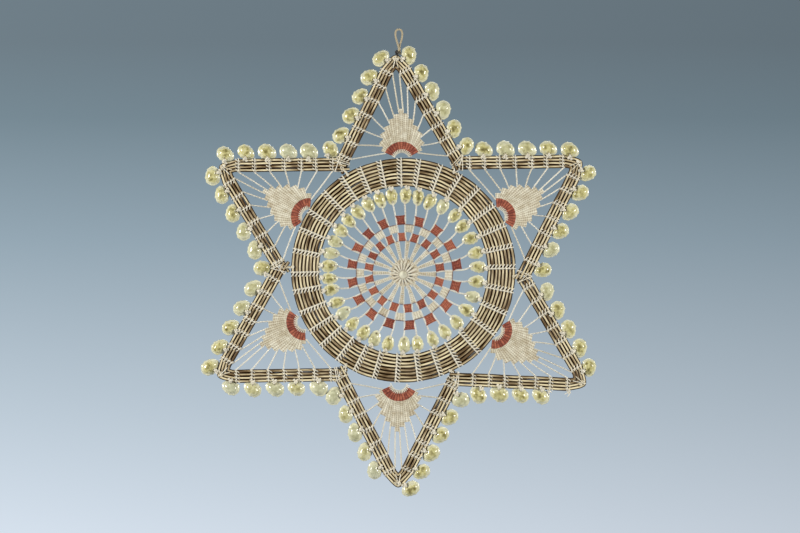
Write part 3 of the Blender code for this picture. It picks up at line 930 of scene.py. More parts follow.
@dataclass
class Workshop:
    """What every part of the star is made with: the layout, the finishes and the two trees."""

    layout: StarLayout
    rib: bpy.types.Material
    thread: bpy.types.Material
    woven: bpy.types.Material
    shell: bpy.types.Material
    dark: bpy.types.Material
    tan: bpy.types.Material
    red: bpy.types.Material
    threads: ThreadWork = field(default_factory=ThreadWork)
    copier: Copier = field(default_factory=Copier)

    @classmethod
    def open(cls) -> Workshop:
        """Workshop with all its finishes made."""
        effects = SharedEffects()
        finishes = (
            LeafRibFinish(), ThreadFinish(), WovenFinish(), CowrieFinish(),
            ThreadFinish("dark_thread_finish", (0.035, 0.03, 0.026), (0.01, 0.008, 0.006),
                         (0.06, 0.05, 0.04), 0.2),
            ThreadFinish("hanging_cord_finish", (0.66, 0.58, 0.42), (0.40, 0.33, 0.20)),
            ThreadFinish("red_thread_finish", (0.16, 0.04, 0.03), (0.06, 0.015, 0.01), (0.2, 0.12, 0.1), 0.2))
        return cls(StarLayout.from_frame(), *(finish.make(effects) for finish in finishes))

    @staticmethod
    def hand_over(piece: bpy.types.Object, slot: str, *nodes: str) -> bpy.types.Object:
        """Attach a piece to the body that it rides on and hide the solids that it stands for."""
        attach(piece, BODY)
        if nodes:
            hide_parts(*nodes)
        piece.data.calc_loop_triangles()
        LOG.info("%s: %d triangles", piece.name, len(piece.data.loop_triangles))
        return piece

    def sew(self, name: str, paths: Sequence[np.ndarray], thickness: float, **settings: Any) -> None:
        """Make and hand over a piece of cream thread along some paths."""
        self.hand_over(self.threads.make(name, paths, self.thread, thickness, **settings), "cream_thread")

    def scatter(self, name: str, unit: bpy.types.Object, spots: Sequence[Spot]) -> None:
        """Set copies of a unit of cream thread on spots, hand them over and remove the unit."""
        piece = self.copier.make(name, unit, spots, self.thread)
        bpy.data.objects.remove(unit)
        self.hand_over(piece, "cream_thread")


def rib_grid(line: np.ndarray, across: np.ndarray, half_width: np.ndarray, half_depth: np.ndarray,
             shift: np.ndarray, corners: int) -> tuple[np.ndarray, np.ndarray]:
    """Sections of a flattened rib along a line in the plane.

    Args:
        line: points of its middle line, n by 2.
        across: unit vectors across it, n by 2.
        half_width: half its width at each point.
        half_depth: half its depth at each point.
        shift: how far it lies towards the front at each point.
        corners: corners of a section.

    Returns:
        The grid of points, n by corners by 3, and how near each lies to the crest, from 0 to 1; the rib
        finish paints a highlight near 1 and shade towards 0.
    """
    turn = np.arange(corners) / corners * TURN
    round_x = np.sign(np.cos(turn)) * np.abs(np.cos(turn)) ** 0.85
    round_y = np.sign(np.sin(turn)) * np.abs(np.sin(turn)) ** 0.85
    spread = half_width[:, None] * round_x
    plane = line[:, None, :] + across[:, None, :] * spread[:, :, None]
    height = shift[:, None] + half_depth[:, None] * round_y
    crest = np.broadcast_to(np.abs(np.sin(turn)), spread.shape)
    return raised(plane, height), crest


def grain_of(distance: np.ndarray, corners: int, girth: float, seed: float) -> np.ndarray:
    """Grain vectors of a rib: length along it, place round it, and a number of its own."""
    turn = np.arange(corners) / corners * TURN
    grain = np.zeros((len(distance), corners, 3))
    grain[:, :, 0] = distance[:, None] + seed
    grain[:, :, 1] = np.cos(turn) * girth
    grain[:, :, 2] = np.sin(turn) * girth + seed
    return grain


@dataclass
class RibRing:
    """Ring of eight ribs laid side by side and lashed with 32 radial threads."""

    shop: Workshop
    lashing_angles: tuple[float, ...] = (
        8.8, 20.3, 31.5, 43.0, 55.0, 66.5, 78.0, 89.0, 101.5, 113.5, 125.6, 138.0, 150.0, 160.9, 172.4,
        184.1, 195.9, 206.5, 217.0, 228.2, 237.6, 248.2, 259.7, 269.0, 281.2, 292.6, 303.0, 315.3, 327.0,
        337.4, 348.2, 358.8)
    half_depth: float = 1.72 * MM
    sag: float = 0.28 * MM
    samples: int = 320
    corners: int = 10
    thread: float = 1.65 * MM
    stroke_lean: float = 4.2 * MM
    half_width: float = 0.54
    pinch_reach: float = 1.6

    def ribs(self) -> bpy.types.Object:
        """The eight ribs."""
        layout = self.shop.layout
        width = layout.row_width
        draft = MeshDraft("tone", "crest", "grain")
        angles = np.arange(self.samples) / self.samples * 360.0
        lashed = np.sort(np.array(self.lashing_angles))
        away = np.abs((angles[:, None] - lashed[None, :] + 180.0) % 360.0 - 180.0).min(1)
        pinch = bell(away, self.pinch_reach)
        bay = np.searchsorted(lashed, angles) % len(lashed)
        for row in range(layout.ring_rows):
            rng = np.random.default_rng(100 + row)
            radius = layout.ring_inner + (row + 0.5) * width
            radius = radius + self.sag * wander(rng, self.samples, 65, True) + 0.12 * MM * (1 - pinch)
            out = fan_out(np.radians(angles))
            line = layout.ring_centre + out * radius[:, None]
            half_width = width * (self.half_width - 0.03 * pinch)
            half_width = half_width * (1 + 0.05 * wander(rng, self.samples, 49, True))
            depth = self.half_depth * (1 - 0.10 * pinch)
            shift = 0.22 * MM * wander(rng, self.samples, 41, True)
            grid, crest = rib_grid(line, out, half_width, depth, shift, self.corners)
            bays = rng.uniform(-0.18, 0.18, len(lashed))[bay]
            tone = 0.50 + rng.uniform(-0.10, 0.10) + bays + 0.14 * wander(rng, self.samples, 81, True)
            grain = grain_of(np.radians(angles) * float(radius.mean()), self.corners, width / 2, row * 0.031)
            draft.add_grid(grid, wrap_rows=True, tone=tone[:, None], crest=crest, grain=grain)
        piece = draft.build("ring_ribs", self.shop.rib)
        return self.shop.hand_over(piece, "leaf_rib", "ring_of_ribs")

    def lashing_paths(self, face: Face) -> list[np.ndarray]:
        """Paths of one lashing at the top of the ring, round the ring's own middle."""
        layout = self.shop.layout
        rows, width = layout.ring_rows, layout.row_width
        top = self.half_depth + 0.25 * self.thread
        paths = []
        spine = [(0.35 * MM, 0.2 * MM, layout.ring_inner - 0.5 * MM)]
        for row in range(rows):
            low = layout.ring_inner + row * width
            spine.append((0.35 * MM, face.value * (top - 0.1 * MM), low + 0.5 * width))
            spine.append((-0.35 * MM, face.value * (top - 0.75 * MM), low + width))
        spine[-1] = (0.0, 0.2 * MM, layout.ring_outer + 0.4 * MM)
        paths.append(flowing([np.array((x, -y, z)) for x, y, z in spine], 4))
        for row in range(rows):
            low = layout.ring_inner + row * width
            stroke = ((0.5, 0.55, 0.05), (-0.25, 1.02, 0.32), (-0.65, 1.02, 0.60), (-1.0, 0.30, 0.98))
            paths.append(flowing([
                np.array((aside * (self.stroke_lean if aside < 0 else MM), -face.value * rise * top,
                          low + share * width)) for aside, rise, share in stroke], 4))
        return paths

    def lashings(self) -> None:
        """All radial lashings, copied round the ring, with a knot at the inner end of each."""
        layout = self.shop.layout
        paths = self.lashing_paths(Face.FRONT) + self.lashing_paths(Face.BACK)
        knot = knot_path(np.array((0.2 * MM, -0.6 * MM, layout.ring_inner - 0.4 * MM)), 0.55 * MM)
        tones = [0.55] * len(paths) + [0.7]
        unit = self.shop.threads.make("lashing_unit", [*paths, knot], self.shop.thread, self.thread,
                                      step=0.8 * MM, sides=6, tones=tones, closed=[len(paths)])
        middle = lift(layout.ring_centre, 0.0)
        rng = np.random.default_rng(7)
        spots = [Spot(middle, angle, tone=rng.uniform(0.35, 0.8)) for angle in self.lashing_angles]
        self.shop.scatter("ring_lashings", unit, spots)

    def build(self) -> None:
        """Ribs and lashings."""
        self.ribs()
        self.lashings()


def knot_path(centre: np.ndarray, size: float, tip: float = 0.0) -> np.ndarray:
    """Closed path of an overhand knot about a centre."""
    turn = np.linspace(0, TURN, 18, endpoint=False) + tip
    across = np.sin(turn) + 2 * np.sin(2 * turn)
    up = np.cos(turn) - 2 * np.cos(2 * turn)
    depth = -np.sin(3 * turn)
    return centre + np.stack((across, depth * 0.9, up), -1) * (size / 2)


@dataclass
class PointLegs:
    """The ribs of a point, bent round its tip, with the lashings across its legs."""

    shop: Workshop
    half_depth: float = 1.62 * MM
    corners: int = 10
    step: float = 2.2 * MM
    thread: float = 1.4 * MM
    binding: float = 1.2 * MM
    run_on: float = 3.2 * MM
    half_width: float = 0.53

    def rib_line(self, index: int, across: float, rng: np.random.Generator) -> tuple[np.ndarray, np.ndarray]:
        """Middle line of one rib, from the left corner round the tip to the right corner, and across it."""
        layout = self.shop.layout
        halves = []
        for side in (Side.LEFT, Side.RIGHT):
            leg = layout.leg(index, side)
            share = across / layout.leg_width
            corner = CORNERS[index if side is Side.RIGHT else index - 1]
            end = leg.length(share) + rng.uniform(-0.8, 0.6) * MM
            if share < 0.5:
                end += corner.standoff * MM * (1.0 - share) + self.run_on * rng.uniform(0.4, 1.0)
            count = int(end / self.step)
            distances = np.linspace(end, 1.2 * MM + 0.35 * across, count)
            halves.append(np.array([leg.place(distance, across) for distance in distances]))
        axis = clock(POINTS[index].angle)
        crown = layout.crown_centre(index) + axis * (layout.crown_bend + across * 0.985)
        aside = clockwise(axis) * (0.25 * across)
        bend = flowing([halves[0][-1], crown - aside, crown + aside, halves[1][-1]], 5)[1:-1]
        line = np.concatenate((halves[0], bend, halves[1][::-1]))
        slope = np.gradient(line, axis=0)
        slope /= np.linalg.norm(slope, axis=1)[:, None]
        outward = np.stack((-slope[:, 1], slope[:, 0]), -1)
        return line, outward

    def ribs(self, index: int) -> bpy.types.Object:
        """The four ribs of one point."""
        layout = self.shop.layout
        point = POINTS[index]
        draft = MeshDraft("tone", "crest", "grain")
        for rib in range(layout.leg_ribs):
            rng = np.random.default_rng(300 + 10 * index + rib)
            across = (rib + 0.5) * layout.leg_rib_width
            line, outward = self.rib_line(index, across, rng)
            count = len(line)
            line = line + outward * (0.22 * MM * wander(rng, count, 20))[:, None]
            width = layout.leg_rib_width * self.half_width * (1 + 0.05 * wander(rng, count, 24))
            depth = self.half_depth * (1 + 0.06 * wander(rng, count, 16))
            ends = np.linspace(0.0, 1.0, count)
            crossing = np.clip((ends - 0.92) / 0.08, 0, 1) - np.clip((0.08 - ends) / 0.08, 0, 1)
            crossing *= across < 0.5 * layout.leg_width
            shift = 0.2 * MM * wander(rng, count, 14) + 1.5 * MM * crossing
            grid, crest = rib_grid(line, outward, width, depth, shift, self.corners)
            tone = 0.48 + 0.1 * (rib - 1.5) + rng.uniform(-0.1, 0.1) + 0.22 * wander(rng, count, 26)
            lengths = np.concatenate(((0.0,), np.cumsum(np.linalg.norm(np.diff(line, axis=0), axis=1))))
            grain = grain_of(lengths, self.corners, layout.leg_rib_width / 2, index * 0.7 + rib * 0.13)
            draft.add_grid(grid, caps=True, tone=tone[:, None], crest=crest, grain=grain)
        piece = draft.build(f"{point.name}_point_ribs", self.shop.rib)
        nodes = [f"{point.name}_point_{side}_leg" for side in ("left", "right")]
        return self.shop.hand_over(piece, "leaf_rib", *nodes)

    def lashing_paths(self, face: Face) -> list[np.ndarray]:
        """Paths of one lashing over four ribs that lie across, the inner edge at the origin."""
        layout = self.shop.layout
        width = layout.leg_rib_width
        top = self.half_depth + 0.25 * self.thread
        paths = []
        spine = [(0.2 * MM, 0.2 * MM, -0.5 * MM)]
        for rib in range(layout.leg_ribs):
            spine.append((0.3 * MM, top - 0.1 * MM, (rib + 0.5) * width))
            spine.append((-0.4 * MM, top - 0.8 * MM, (rib + 1.0) * width))
        spine[-1] = (-0.4 * MM, 0.3 * MM, layout.leg_width + 0.4 * MM)
        paths.append(flowing([np.array((x, -face.value * y, z)) for x, y, z in spine], 4))
        for rib in range(layout.leg_ribs):
            low = rib * width
            stroke = ((1.6, 0.6, 0.1), (-0.3, 1.02, 0.38), (-2.0, 1.02, 0.62), (-3.4, 0.35, 0.95))
            paths.append(flowing([
                np.array((aside * MM, -face.value * rise * top, low + share * width))
                for aside, rise, share in stroke], 4))
        return paths

    def lashings(self) -> None:
        """The lashings of all legs, seven on each."""
        layout = self.shop.layout
        paths = self.lashing_paths(Face.FRONT) + self.lashing_paths(Face.BACK)
        unit = self.shop.threads.make("leg_lashing_unit", paths, self.shop.thread, self.thread,
                                      step=0.8 * MM, sides=6)
        rng = np.random.default_rng(11)
        spots = []
        for index in range(len(POINTS)):
            for side in Side:
                leg = layout.leg(index, side)
                for number in range(layout.leg_lashings):
                    distance = layout.lashing(number) + rng.uniform(-0.8, 0.8) * MM
                    size = (rng.uniform(0.85, 1.15), 1.0, 1.0)
                    place = lift(leg.place(distance, 0.0), 0.0)
                    spots.append(Spot(place, leg.angle, size, rng.uniform(0.35, 0.8)))
        self.shop.scatter("leg_lashings", unit, spots)

    def wrap(self, leg: Leg, distance: float, skew: float, low: float, high: float) -> np.ndarray:
        """Closed path of a wrap round some ribs of a leg, skewed along it from edge to edge."""
        width = self.shop.layout.leg_width
        depth = self.half_depth + 0.5 * MM
        corners = ((low, 0.35), (low + 0.08, 1.0), (high - 0.08, 1.0), (high, 0.35), (high, -0.35),
                   (high - 0.08, -1.0), (low + 0.08, -1.0), (low, -0.35))
        points = []
        for share, rise in corners:
            along = distance + skew * (share - 0.5) * (1.0 if rise > 0 else -0.4)
            points.append(lift(leg.place(along, share * width), rise * depth))
        return flowing(points, 4, closed=True)

    def knot(self, bundle: Bundle, spot: np.ndarray, size: float, rng: np.random.Generator) -> None:
        """Add a knot that lies on the front of the ribs."""
        bundle.add_closed(knot_path(lift(spot, self.half_depth + 0.5 * MM), size, rng.uniform(0, TURN)))

    def bind_tip(self, index: int, rng: np.random.Generator, bundle: Bundle) -> None:
        """Add the wraps and knots that hold the ribs together at the bend of one point."""
        layout = self.shop.layout
        axis = clock(POINTS[index].angle)
        middle = layout.crown_centre(index) + axis * layout.crown_bend
        crown = Leg(middle, clockwise(axis), axis, 0.0, 0.0)
        for distance, skew in ((-1.3, 3.0), (1.2, -3.5)):
            bundle.add_closed(self.wrap(crown, distance * MM, (skew + rng.uniform(-1, 1)) * MM, 0.12, 1.0))
        for aside, up in ((-1.6, 10.4), (1.9, 9.9)):
            self.knot(bundle, crown.place((aside + rng.uniform(-0.5, 0.5)) * MM, up * MM), 0.95 * MM, rng)

    def bindings(self) -> None:
        """White wraps and knots at the inner corners, tied to the ring, and a few at the tips."""
        layout = self.shop.layout
        rng = np.random.default_rng(23)
        bundle = Bundle()
        height = self.half_depth + 0.6 * MM
        for index in range(len(POINTS)):
            for side in Side:
                leg = layout.leg(index, side)
                for back in (1.6, 3.6):
                    skew = rng.uniform(-5, 5) * MM
                    bundle.add_closed(self.wrap(leg, leg.length(0.5) - back * MM, skew, -0.04, 1.04))
            leg = layout.leg(index, Side.RIGHT)
            following = layout.leg((index + 1) % len(POINTS), Side.LEFT)
            tie = layout.ring_centre + clock(CORNERS[index].angle) * (layout.ring_outer - 1.5 * MM)
            for number in range(4):
                ends = [edge.place(edge.inner_length - rng.uniform(1.0, 5.0) * MM, rng.uniform(0.3, far) * MM)
                        for edge, far in ((leg, 3.0), (following, 9.0))]
                rise = height if number % 2 else -height
                held = lift(tie + rng.uniform(-1, 1, 2) * 1.2 * MM, rise * 0.8)
                bundle.add(flowing([lift(ends[0], rise), held, lift(ends[1], rise)], 7))
            self.knot(bundle, tie, 1.0 * MM, rng)
            self.knot(bundle, leg.place(leg.length(0.4), 0.4 * layout.leg_width), 1.1 * MM, rng)
            self.bind_tip(index, rng, bundle)
        tones = [rng.uniform(0.1, 0.7) for _ in bundle.paths]
        self.shop.sew("corner_bindings", bundle.paths, self.binding, tones=tones, closed=bundle.closed)

    def build(self) -> None:
        """Ribs of each point, all lashings and the corners' bindings."""
        for index in range(len(POINTS)):
            self.ribs(index)
        self.lashings()
        self.bindings()


@dataclass(frozen=True)
class CowrieShape:
    """A money cowrie, its length along X with the narrow end at +X, its back to the front."""

    length: float
    width: float
    back: float
    belly: float
    shift: float
    narrowing: float = 0.12
    sections: int = 33
    teeth: int = 9
    slit_width: float = 0.55 * MM
    tooth_height: float = 0.32 * MM
    hole: float = 0.95 * MM

    def outline(self, share: np.ndarray) -> np.ndarray:
        """Half width at shares of the half length, from -1 to 1, with the knobs of the callus."""
        body = rounded(share, 2.1, 0.56) * (1 - self.narrowing * share)
        knobs = sum(height * bell(share - place, 0.12)
                    for place, height in ((-0.68, 0.13), (-0.18, 0.10), (0.3, 0.05), (0.7, 0.12)))
        return self.width / 2 * (0.945 * body) * (1 + knobs)

    def build(self, name: str, material: bpy.types.Material,
              holes: Sequence[tuple[float, float]]) -> bpy.types.Object:
        """Make one shell round the origin.

        Args:
            name: the object's name.
            material: the shell's finish.
            holes: places of the pierced holes on the back, along X and Z.

        Returns:
            The shell.
        """
        spaced = np.linspace(-1, 1, self.sections)
        share = 0.55 * np.sin(spaced * math.pi / 2) + 0.45 * spaced
        across_back = np.sin(np.linspace(math.pi / 2, -math.pi / 2, 17))
        half_belly = np.array((0.06, 0.15, 0.27, 0.42, 0.6, 0.78, 0.93))
        across_belly = np.concatenate((-half_belly[::-1], half_belly))
        half = self.outline(share)[:, None]
        ends = rounded(share, 2.6)[:, None]
        centred = across_back - 0.04
        dome_end = rounded((share[:, None] + 0.04) / 0.84, 2.4, 1.0)
        dome = np.clip(dome_end - (np.abs(centred) / 0.78) ** 2.2, 0, 1) ** 0.6
        rim = rounded(across_back, 5)
        y_back = -(self.back * (0.66 * dome * (1 - 0.08 * share[:, None]) + 0.34 * rim * ends))
        flat = rounded(across_belly, 3.2)
        z_belly = half * across_belly
        bowed = self.width * 0.05 * np.cos(share * math.pi / 2)[:, None]
        from_slit = np.abs(z_belly - bowed)
        groove = bell(from_slit, self.slit_width * (1 + 0.5 * np.abs(share[:, None])))
        teeth = np.cos(share * self.teeth * math.pi)[:, None]
        toothed = bell(from_slit - 1.5 * MM, 1.1 * MM) * teeth
        y_belly = self.belly * flat * ends - 2.0 * MM * groove * ends + self.tooth_height * toothed * ends
        y = np.concatenate((y_back, y_belly), 1)
        z = np.concatenate((half * across_back, z_belly), 1)
        x = np.broadcast_to((share * self.length / 2)[:, None], y.shape)
        back = np.concatenate((dome, 0.12 * np.ones_like(y_belly)), 1)
        # Where the finish paints shade: in the slit, and in each pierced hole below.
        slit = np.concatenate((np.zeros_like(y_back), np.clip(groove * 1.5, 0, 1) * ends), 1)
        for hole_x, hole_z in holes:
            pierced = bell(np.hypot(x - hole_x, z - hole_z), self.hole, 4) * (y < 0)
            y = y + 1.6 * MM * pierced
            slit = np.maximum(slit, pierced)
        draft = MeshDraft("back", "slit")
        draft.add_grid(np.stack((x, y + self.shift, z), -1), caps=True, back=back, slit=slit)
        return draft.build(name, material, weld=0.01 * MM)


@dataclass
class Cowries:
    """The outer rows of cowries and the inner round of them, all with their backs to the front."""

    shop: Workshop
    outer: CowrieShape = CowrieShape(19.3 * MM, 15.2 * MM, 5.4 * MM, 3.4 * MM, 0.75 * MM)
    inner: CowrieShape = CowrieShape(17.2 * MM, 12.2 * MM, 5.0 * MM, 3.2 * MM, 0.6 * MM, narrowing=0.2)
    tilt: float = 27.0
    corner_tilt: float = 50.0
    rise: float = 6.3 * MM
    corner_rise: float = 8.0 * MM
    tip_drop: float = 1.8 * MM
    inner_drop: float = 1.5 * MM
    sway: float = 4.0
    thread: float = 1.15 * MM
    outer_hole: tuple[float, float] = (1.9 * MM, -4.0 * MM)
    inner_holes: tuple[tuple[float, float], ...] = ((5.3 * MM, 0.0), (-6.0 * MM, 0.9 * MM))

    def outer_spots(self, index: int, side: Side) -> list[Spot]:
        """Places of the shells along one leg."""
        layout = self.shop.layout
        point = POINTS[index]
        leg = layout.leg(index, side)
        row = point.right_row if side is Side.RIGHT else point.left_row
        rng = np.random.default_rng(500 + 2 * index + side.value)
        spots = []
        for number in range(row.cowries):
            distance = (row.first + (row.last - row.first) * number / (row.cowries - 1)) * MM
            at_corner = row.ends_at_corner and number == row.cowries - 1
            tilt = self.corner_tilt if at_corner else self.tilt
            rise = self.corner_rise if at_corner else self.rise
            if distance < 3.0 * MM:
                rise -= self.tip_drop
            place = leg.place(distance + rng.uniform(-0.5, 0.5) * MM, layout.leg_width + rise)
            grow = rng.uniform(0.95, 1.03)
            size = (grow, 1.0, grow * rng.uniform(0.96, 1.03))
            turn = leg.angle + tilt + rng.uniform(-7, 7)
            spots.append(Spot(lift(place, 0.0), turn, size, rng.uniform(0.0, 1.0)))
        return spots

    def tie(self, name: str, hole: tuple[float, float], away: tuple[float, float],
            reach: float) -> bpy.types.Object:
        """Threads that hold one shell: from its hole over its rim, with knots beside it.

        Args:
            name: the object's name.
            hole: place of the hole, along X and Z.
            away: direction from the hole to what the shell is tied to.
            reach: length of the ties from the hole, in mm.

        Returns:
            The ties of one shell round the origin.
        """
        start = np.array((hole[0], -3.1 * MM, hole[1]))
        forth = np.array((away[0], 0.0, away[1]))
        aside = np.array((-away[1], 0.0, away[0]))
        front = np.array((0.0, -1.0, 0.0))
        loops = []
        for lean, spread in ((-0.5, -1.5), (0.5, 0.2), (0.1, 1.6)):
            loops.append(flowing([start + (lean * aside - 1.2 * front) * MM,
                                  start + (0.9 * forth + lean * aside + 0.9 * front) * MM,
                                  start + (0.6 * reach * forth + 0.7 * spread * aside + 0.6 * front) * MM,
                                  start + (reach * forth + spread * aside - 1.2 * front) * MM], 4))
        knots = ((0.42, 0.3, 0.2, 0.95, 0.0), (0.8, -1.3, -0.4, 0.95, 2.0), (1.0, 1.4, -0.8, 0.9, 1.0))
        for along, beside, up, size, tip in knots:
            place = start + (along * reach * forth + beside * aside + up * front) * MM
            loops.append(knot_path(place, size * MM, tip))
        return self.shop.threads.make(name, loops, self.shop.thread, self.thread, step=0.75 * MM, sides=6,
                                      closed=(3, 4, 5))

    def outer_rows(self) -> None:
        """Twelve rows of shells, one for each leg, and their ties."""
        shell = self.outer.build("outer_cowrie_unit", self.shop.shell, (self.outer_hole,))
        tie = self.tie("outer_tie_unit", self.outer_hole, (0.454, -0.891), 4.4)
        ties: list[Spot] = []
        for index, point in enumerate(POINTS):
            for side in Side:
                spots = self.outer_spots(index, side)
                name = f"{point.name}_point_{side.name.lower()}_cowries"
                piece = self.shop.copier.make(name + "_shells", shell, spots, self.shop.shell, self.sway,
                                              40 + index)
                self.shop.hand_over(piece, "cowrie_shell", name)
                ties.extend(spots)
        bpy.data.objects.remove(shell)
        self.shop.scatter("cowrie_ties", tie, ties)

    def inner_round(self) -> None:
        """The inner round of shells, narrow ends to the middle, and the knots that hold them."""
        layout = self.shop.layout
        shell = self.inner.build("inner_cowrie_unit", self.shop.shell, self.inner_holes)
        rng = np.random.default_rng(61)
        reach = layout.ring_inner - self.inner_drop - self.inner.length / 2
        spots = []
        for number in range(layout.inner_cowries):
            angle = layout.spoke(number, layout.cowrie_crowding) + rng.uniform(-0.7, 0.7)
            place = layout.ring_centre + clock(angle) * (reach + rng.uniform(-0.7, 0.7) * MM)
            size = (rng.uniform(0.95, 1.02), 1.0, rng.uniform(0.94, 1.04))
            turn = angle + 90.0 + rng.uniform(-8, 8)
            spots.append(Spot(lift(place, 0.0), turn, size, rng.uniform(0.0, 1.0)))
        piece = self.shop.copier.make("inner_cowries_shells", shell, spots, self.shop.shell, self.sway, 77)
        self.shop.hand_over(piece, "cowrie_shell", "inner_cowries")
        bpy.data.objects.remove(shell)
        tie = self.tie("inner_tie_unit", self.inner_holes[1], (-1.0, 0.0), 3.6)
        self.shop.scatter("inner_cowrie_ties", tie, spots)

    def build(self) -> None:
        """Outer rows and inner round."""
        self.outer_rows()
        self.inner_round()


@dataclass
class Fans:
    """A half round of needle weaving at the foot of each point, and the threads that stretch it."""

    shop: Workshop
    hole: float = 8.0 * MM
    fringe: float = 1.8 * MM
    band: float = 9.0 * MM
    column: float = 10.0
    first_rim: float = 25.0 * MM
    rim_step: float = 4.4 * MM
    narrowing: float = 0.48
    flare: float = 0.0105
    thick: float = 0.85 * MM
    pitch: float = 2.1 * MM
    per_column: int = 8
    thread: float = 1.95 * MM
    foot_angle: float = 84.0

    @property
    def band_end(self) -> float:
        """Reach of the red band's outer edge."""
        return self.hole + self.fringe + self.band

    def aside(self, number: int) -> float:
        """Angle of a thread from the fan's axis, where it leaves the band."""
        return (number - (self.shop.layout.fan_threads - 1) / 2) * self.column

    def middle(self, index: int) -> np.ndarray:
        """Middle of a fan's hole, which lies a little inside the ring's edge on most points."""
        layout = self.shop.layout
        point = POINTS[index]
        reach = layout.ring_outer + layout.gap - point.fan_inset * MM
        return layout.ring_centre + clock(point.fan_angle) * reach

    def rim(self, index: int, number: int) -> tuple[float, float]:
        """Angle from the axis and reach at which a thread leaves the woven rim."""
        aside = self.aside(number)
        from_edge = min(number, self.shop.layout.fan_threads - 1 - number)
        if from_edge == 0:
            return aside, self.band_end
        narrowed = aside * (self.narrowing + self.flare * abs(aside))
        place = clock(narrowed) * (self.first_rim + self.rim_step * (from_edge - 1))
        place = place + np.array((0.0, POINTS[index].fan_inset * MM))
        return clock_angle(place), float(np.linalg.norm(place))

    def bearing(self, index: int, number: int, reach: np.ndarray) -> np.ndarray:
        """Angles from the axis of one thread's line at some reaches from the fan's middle."""
        if number in (0, self.shop.layout.fan_threads - 1):
            return np.full(len(reach), self.aside(number))
        start = clock(self.aside(number)) * self.band_end
        angle, rim_reach = self.rim(index, number)
        end = clock(angle) * rim_reach
        along = end - start
        along = along / np.linalg.norm(along)
        ahead = -float(start @ along)
        spare = np.maximum(reach**2 - float(start @ start) + ahead**2, 0.0)
        places = start + along * (ahead + np.sqrt(spare))[:, None]
        angles = np.degrees(np.arctan2(places[:, 0], places[:, 1]))
        return np.where(reach < self.band_end, self.aside(number), angles)

    def weave(self, index: int) -> bpy.types.Object:
        """Woven half round of one fan."""
        point = POINTS[index]
        rng = np.random.default_rng(700 + index)
        middle = self.middle(index)
        draft = MeshDraft("tone", "crest", "dye")
        columns = self.shop.layout.fan_threads - 1
        start = self.hole + self.fringe * 0.4
        for column in range(columns):
            low, high = sorted((self.rim(index, column)[1], self.rim(index, column + 1)[1]))
            top = low + (high - low) * 0.55 + rng.uniform(-0.6, 0.6) * MM
            if column == columns // 2:
                top = high + 2.4 * MM
            reach = np.arange(start, top, self.pitch / 5)
            left = self.bearing(index, column, reach)
            right = self.bearing(index, column + 1, reach)
            share = np.linspace(0, 1, self.per_column + 1)
            angles = left[:, None] + (right - left)[:, None] * share
            turn = np.radians(angles + point.fan_angle)
            row = reach[:, None] / self.pitch + 0.5 * (column % 2)
            in_band = ((reach > self.hole + self.fringe) & (reach < self.band_end))[:, None]
            ridge = np.where(in_band, wave(share - 0.5), wave(share * 2))
            weft = wave(row)
            relief = 0.45 + 0.38 * ridge + 0.17 * weft
            edge = np.minimum(1.0, (top - reach) / (0.8 * MM))[:, None]
            height = self.thick * relief * np.sqrt(np.clip(edge, 0.15, 1.0))
            plane = middle + fan_out(turn) * reach[:, None, None]
            tone = 0.5 + rng.uniform(-0.12, 0.12) + 0.2 * (weft - 0.5)
            tone = tone + 0.3 * wander(rng, len(reach), 12)[:, None]
            crest = np.where(in_band, 0.85 * ridge**0.5, 0.12 + 0.66 * ridge + 0.2 * weft)
            draft.add_sheet(plane, height, tone, crest, in_band.astype(float))
        piece = draft.build(f"{point.name}_fan_weaving", self.shop.woven)
        return self.shop.hand_over(piece, "woven_thread", f"{point.name}_fan")

    def thread_paths(self, index: int) -> list[np.ndarray]:
        """Paths of the 14 threads of one fan, from the band over the rim to the legs' lashings."""
        layout = self.shop.layout
        point = POINTS[index]
        middle = self.middle(index)
        rng = np.random.default_rng(800 + index)
        paths = []
        for number in range(layout.fan_threads):
            side = Side.LEFT if number < layout.leg_lashings else Side.RIGHT
            from_left = number - layout.leg_lashings
            leg = layout.leg(index, side)
            distance = layout.lashing(-1 - from_left if side is Side.LEFT else from_left)
            angle, reach = self.rim(index, number)
            start = middle + clock(point.fan_angle + angle) * (reach - 1.6 * MM)
            end = leg.place(distance, -0.2 * MM)
            over = leg.place(distance, 0.5 * layout.leg_rib_width)
            bow = rng.uniform(-0.35, 0.35) * MM
            halfway = (start + end) / 2 + leg.along * bow
            paths.append(flowing([lift(start, 0.15 * MM), lift(halfway, 0.0), lift(end, 0.5 * MM),
                                  lift(over, 2.05 * MM)], 5))
        return paths

    def foot(self, index: int, reach: float) -> float:
        """How far from the axis a circle of some reach sweeps before it meets the ring."""
        inset = POINTS[index].fan_inset * MM / reach
        return math.degrees(math.acos(math.cos(math.radians(self.foot_angle)) + inset))

    def fringe_paths(self, index: int) -> list[np.ndarray]:
        """White edge of the hole: a doubled thread round it and short stitches over it."""
        point = POINTS[index]
        middle = self.middle(index)
        paths = []
        for reach, sweep in ((self.hole + 0.2 * MM, 84.0), (self.hole + 1.9 * MM, 66.0)):
            foot = self.foot(index, reach)
            angles = np.linspace(-min(sweep, foot), min(sweep, foot), 24)
            paths.append(np.array([lift(middle + clock(point.fan_angle + angle) * reach, 0.15 * MM)
                                   for angle in angles]))
        for number in range(15):
            aside = -77 + number * 10
            if abs(aside) > self.foot(index, self.hole):
                continue
            angle = point.fan_angle + aside
            shape = ((-0.5, 0.0), (0.5, 1.0), (2.2, 1.0), (3.1, 0.4))
            paths.append(flowing([
                lift(middle + clock(angle + 1.5 * step) * (self.hole + reach * MM), height * MM)
                for step, (reach, height) in enumerate(shape)], 3))
        return paths

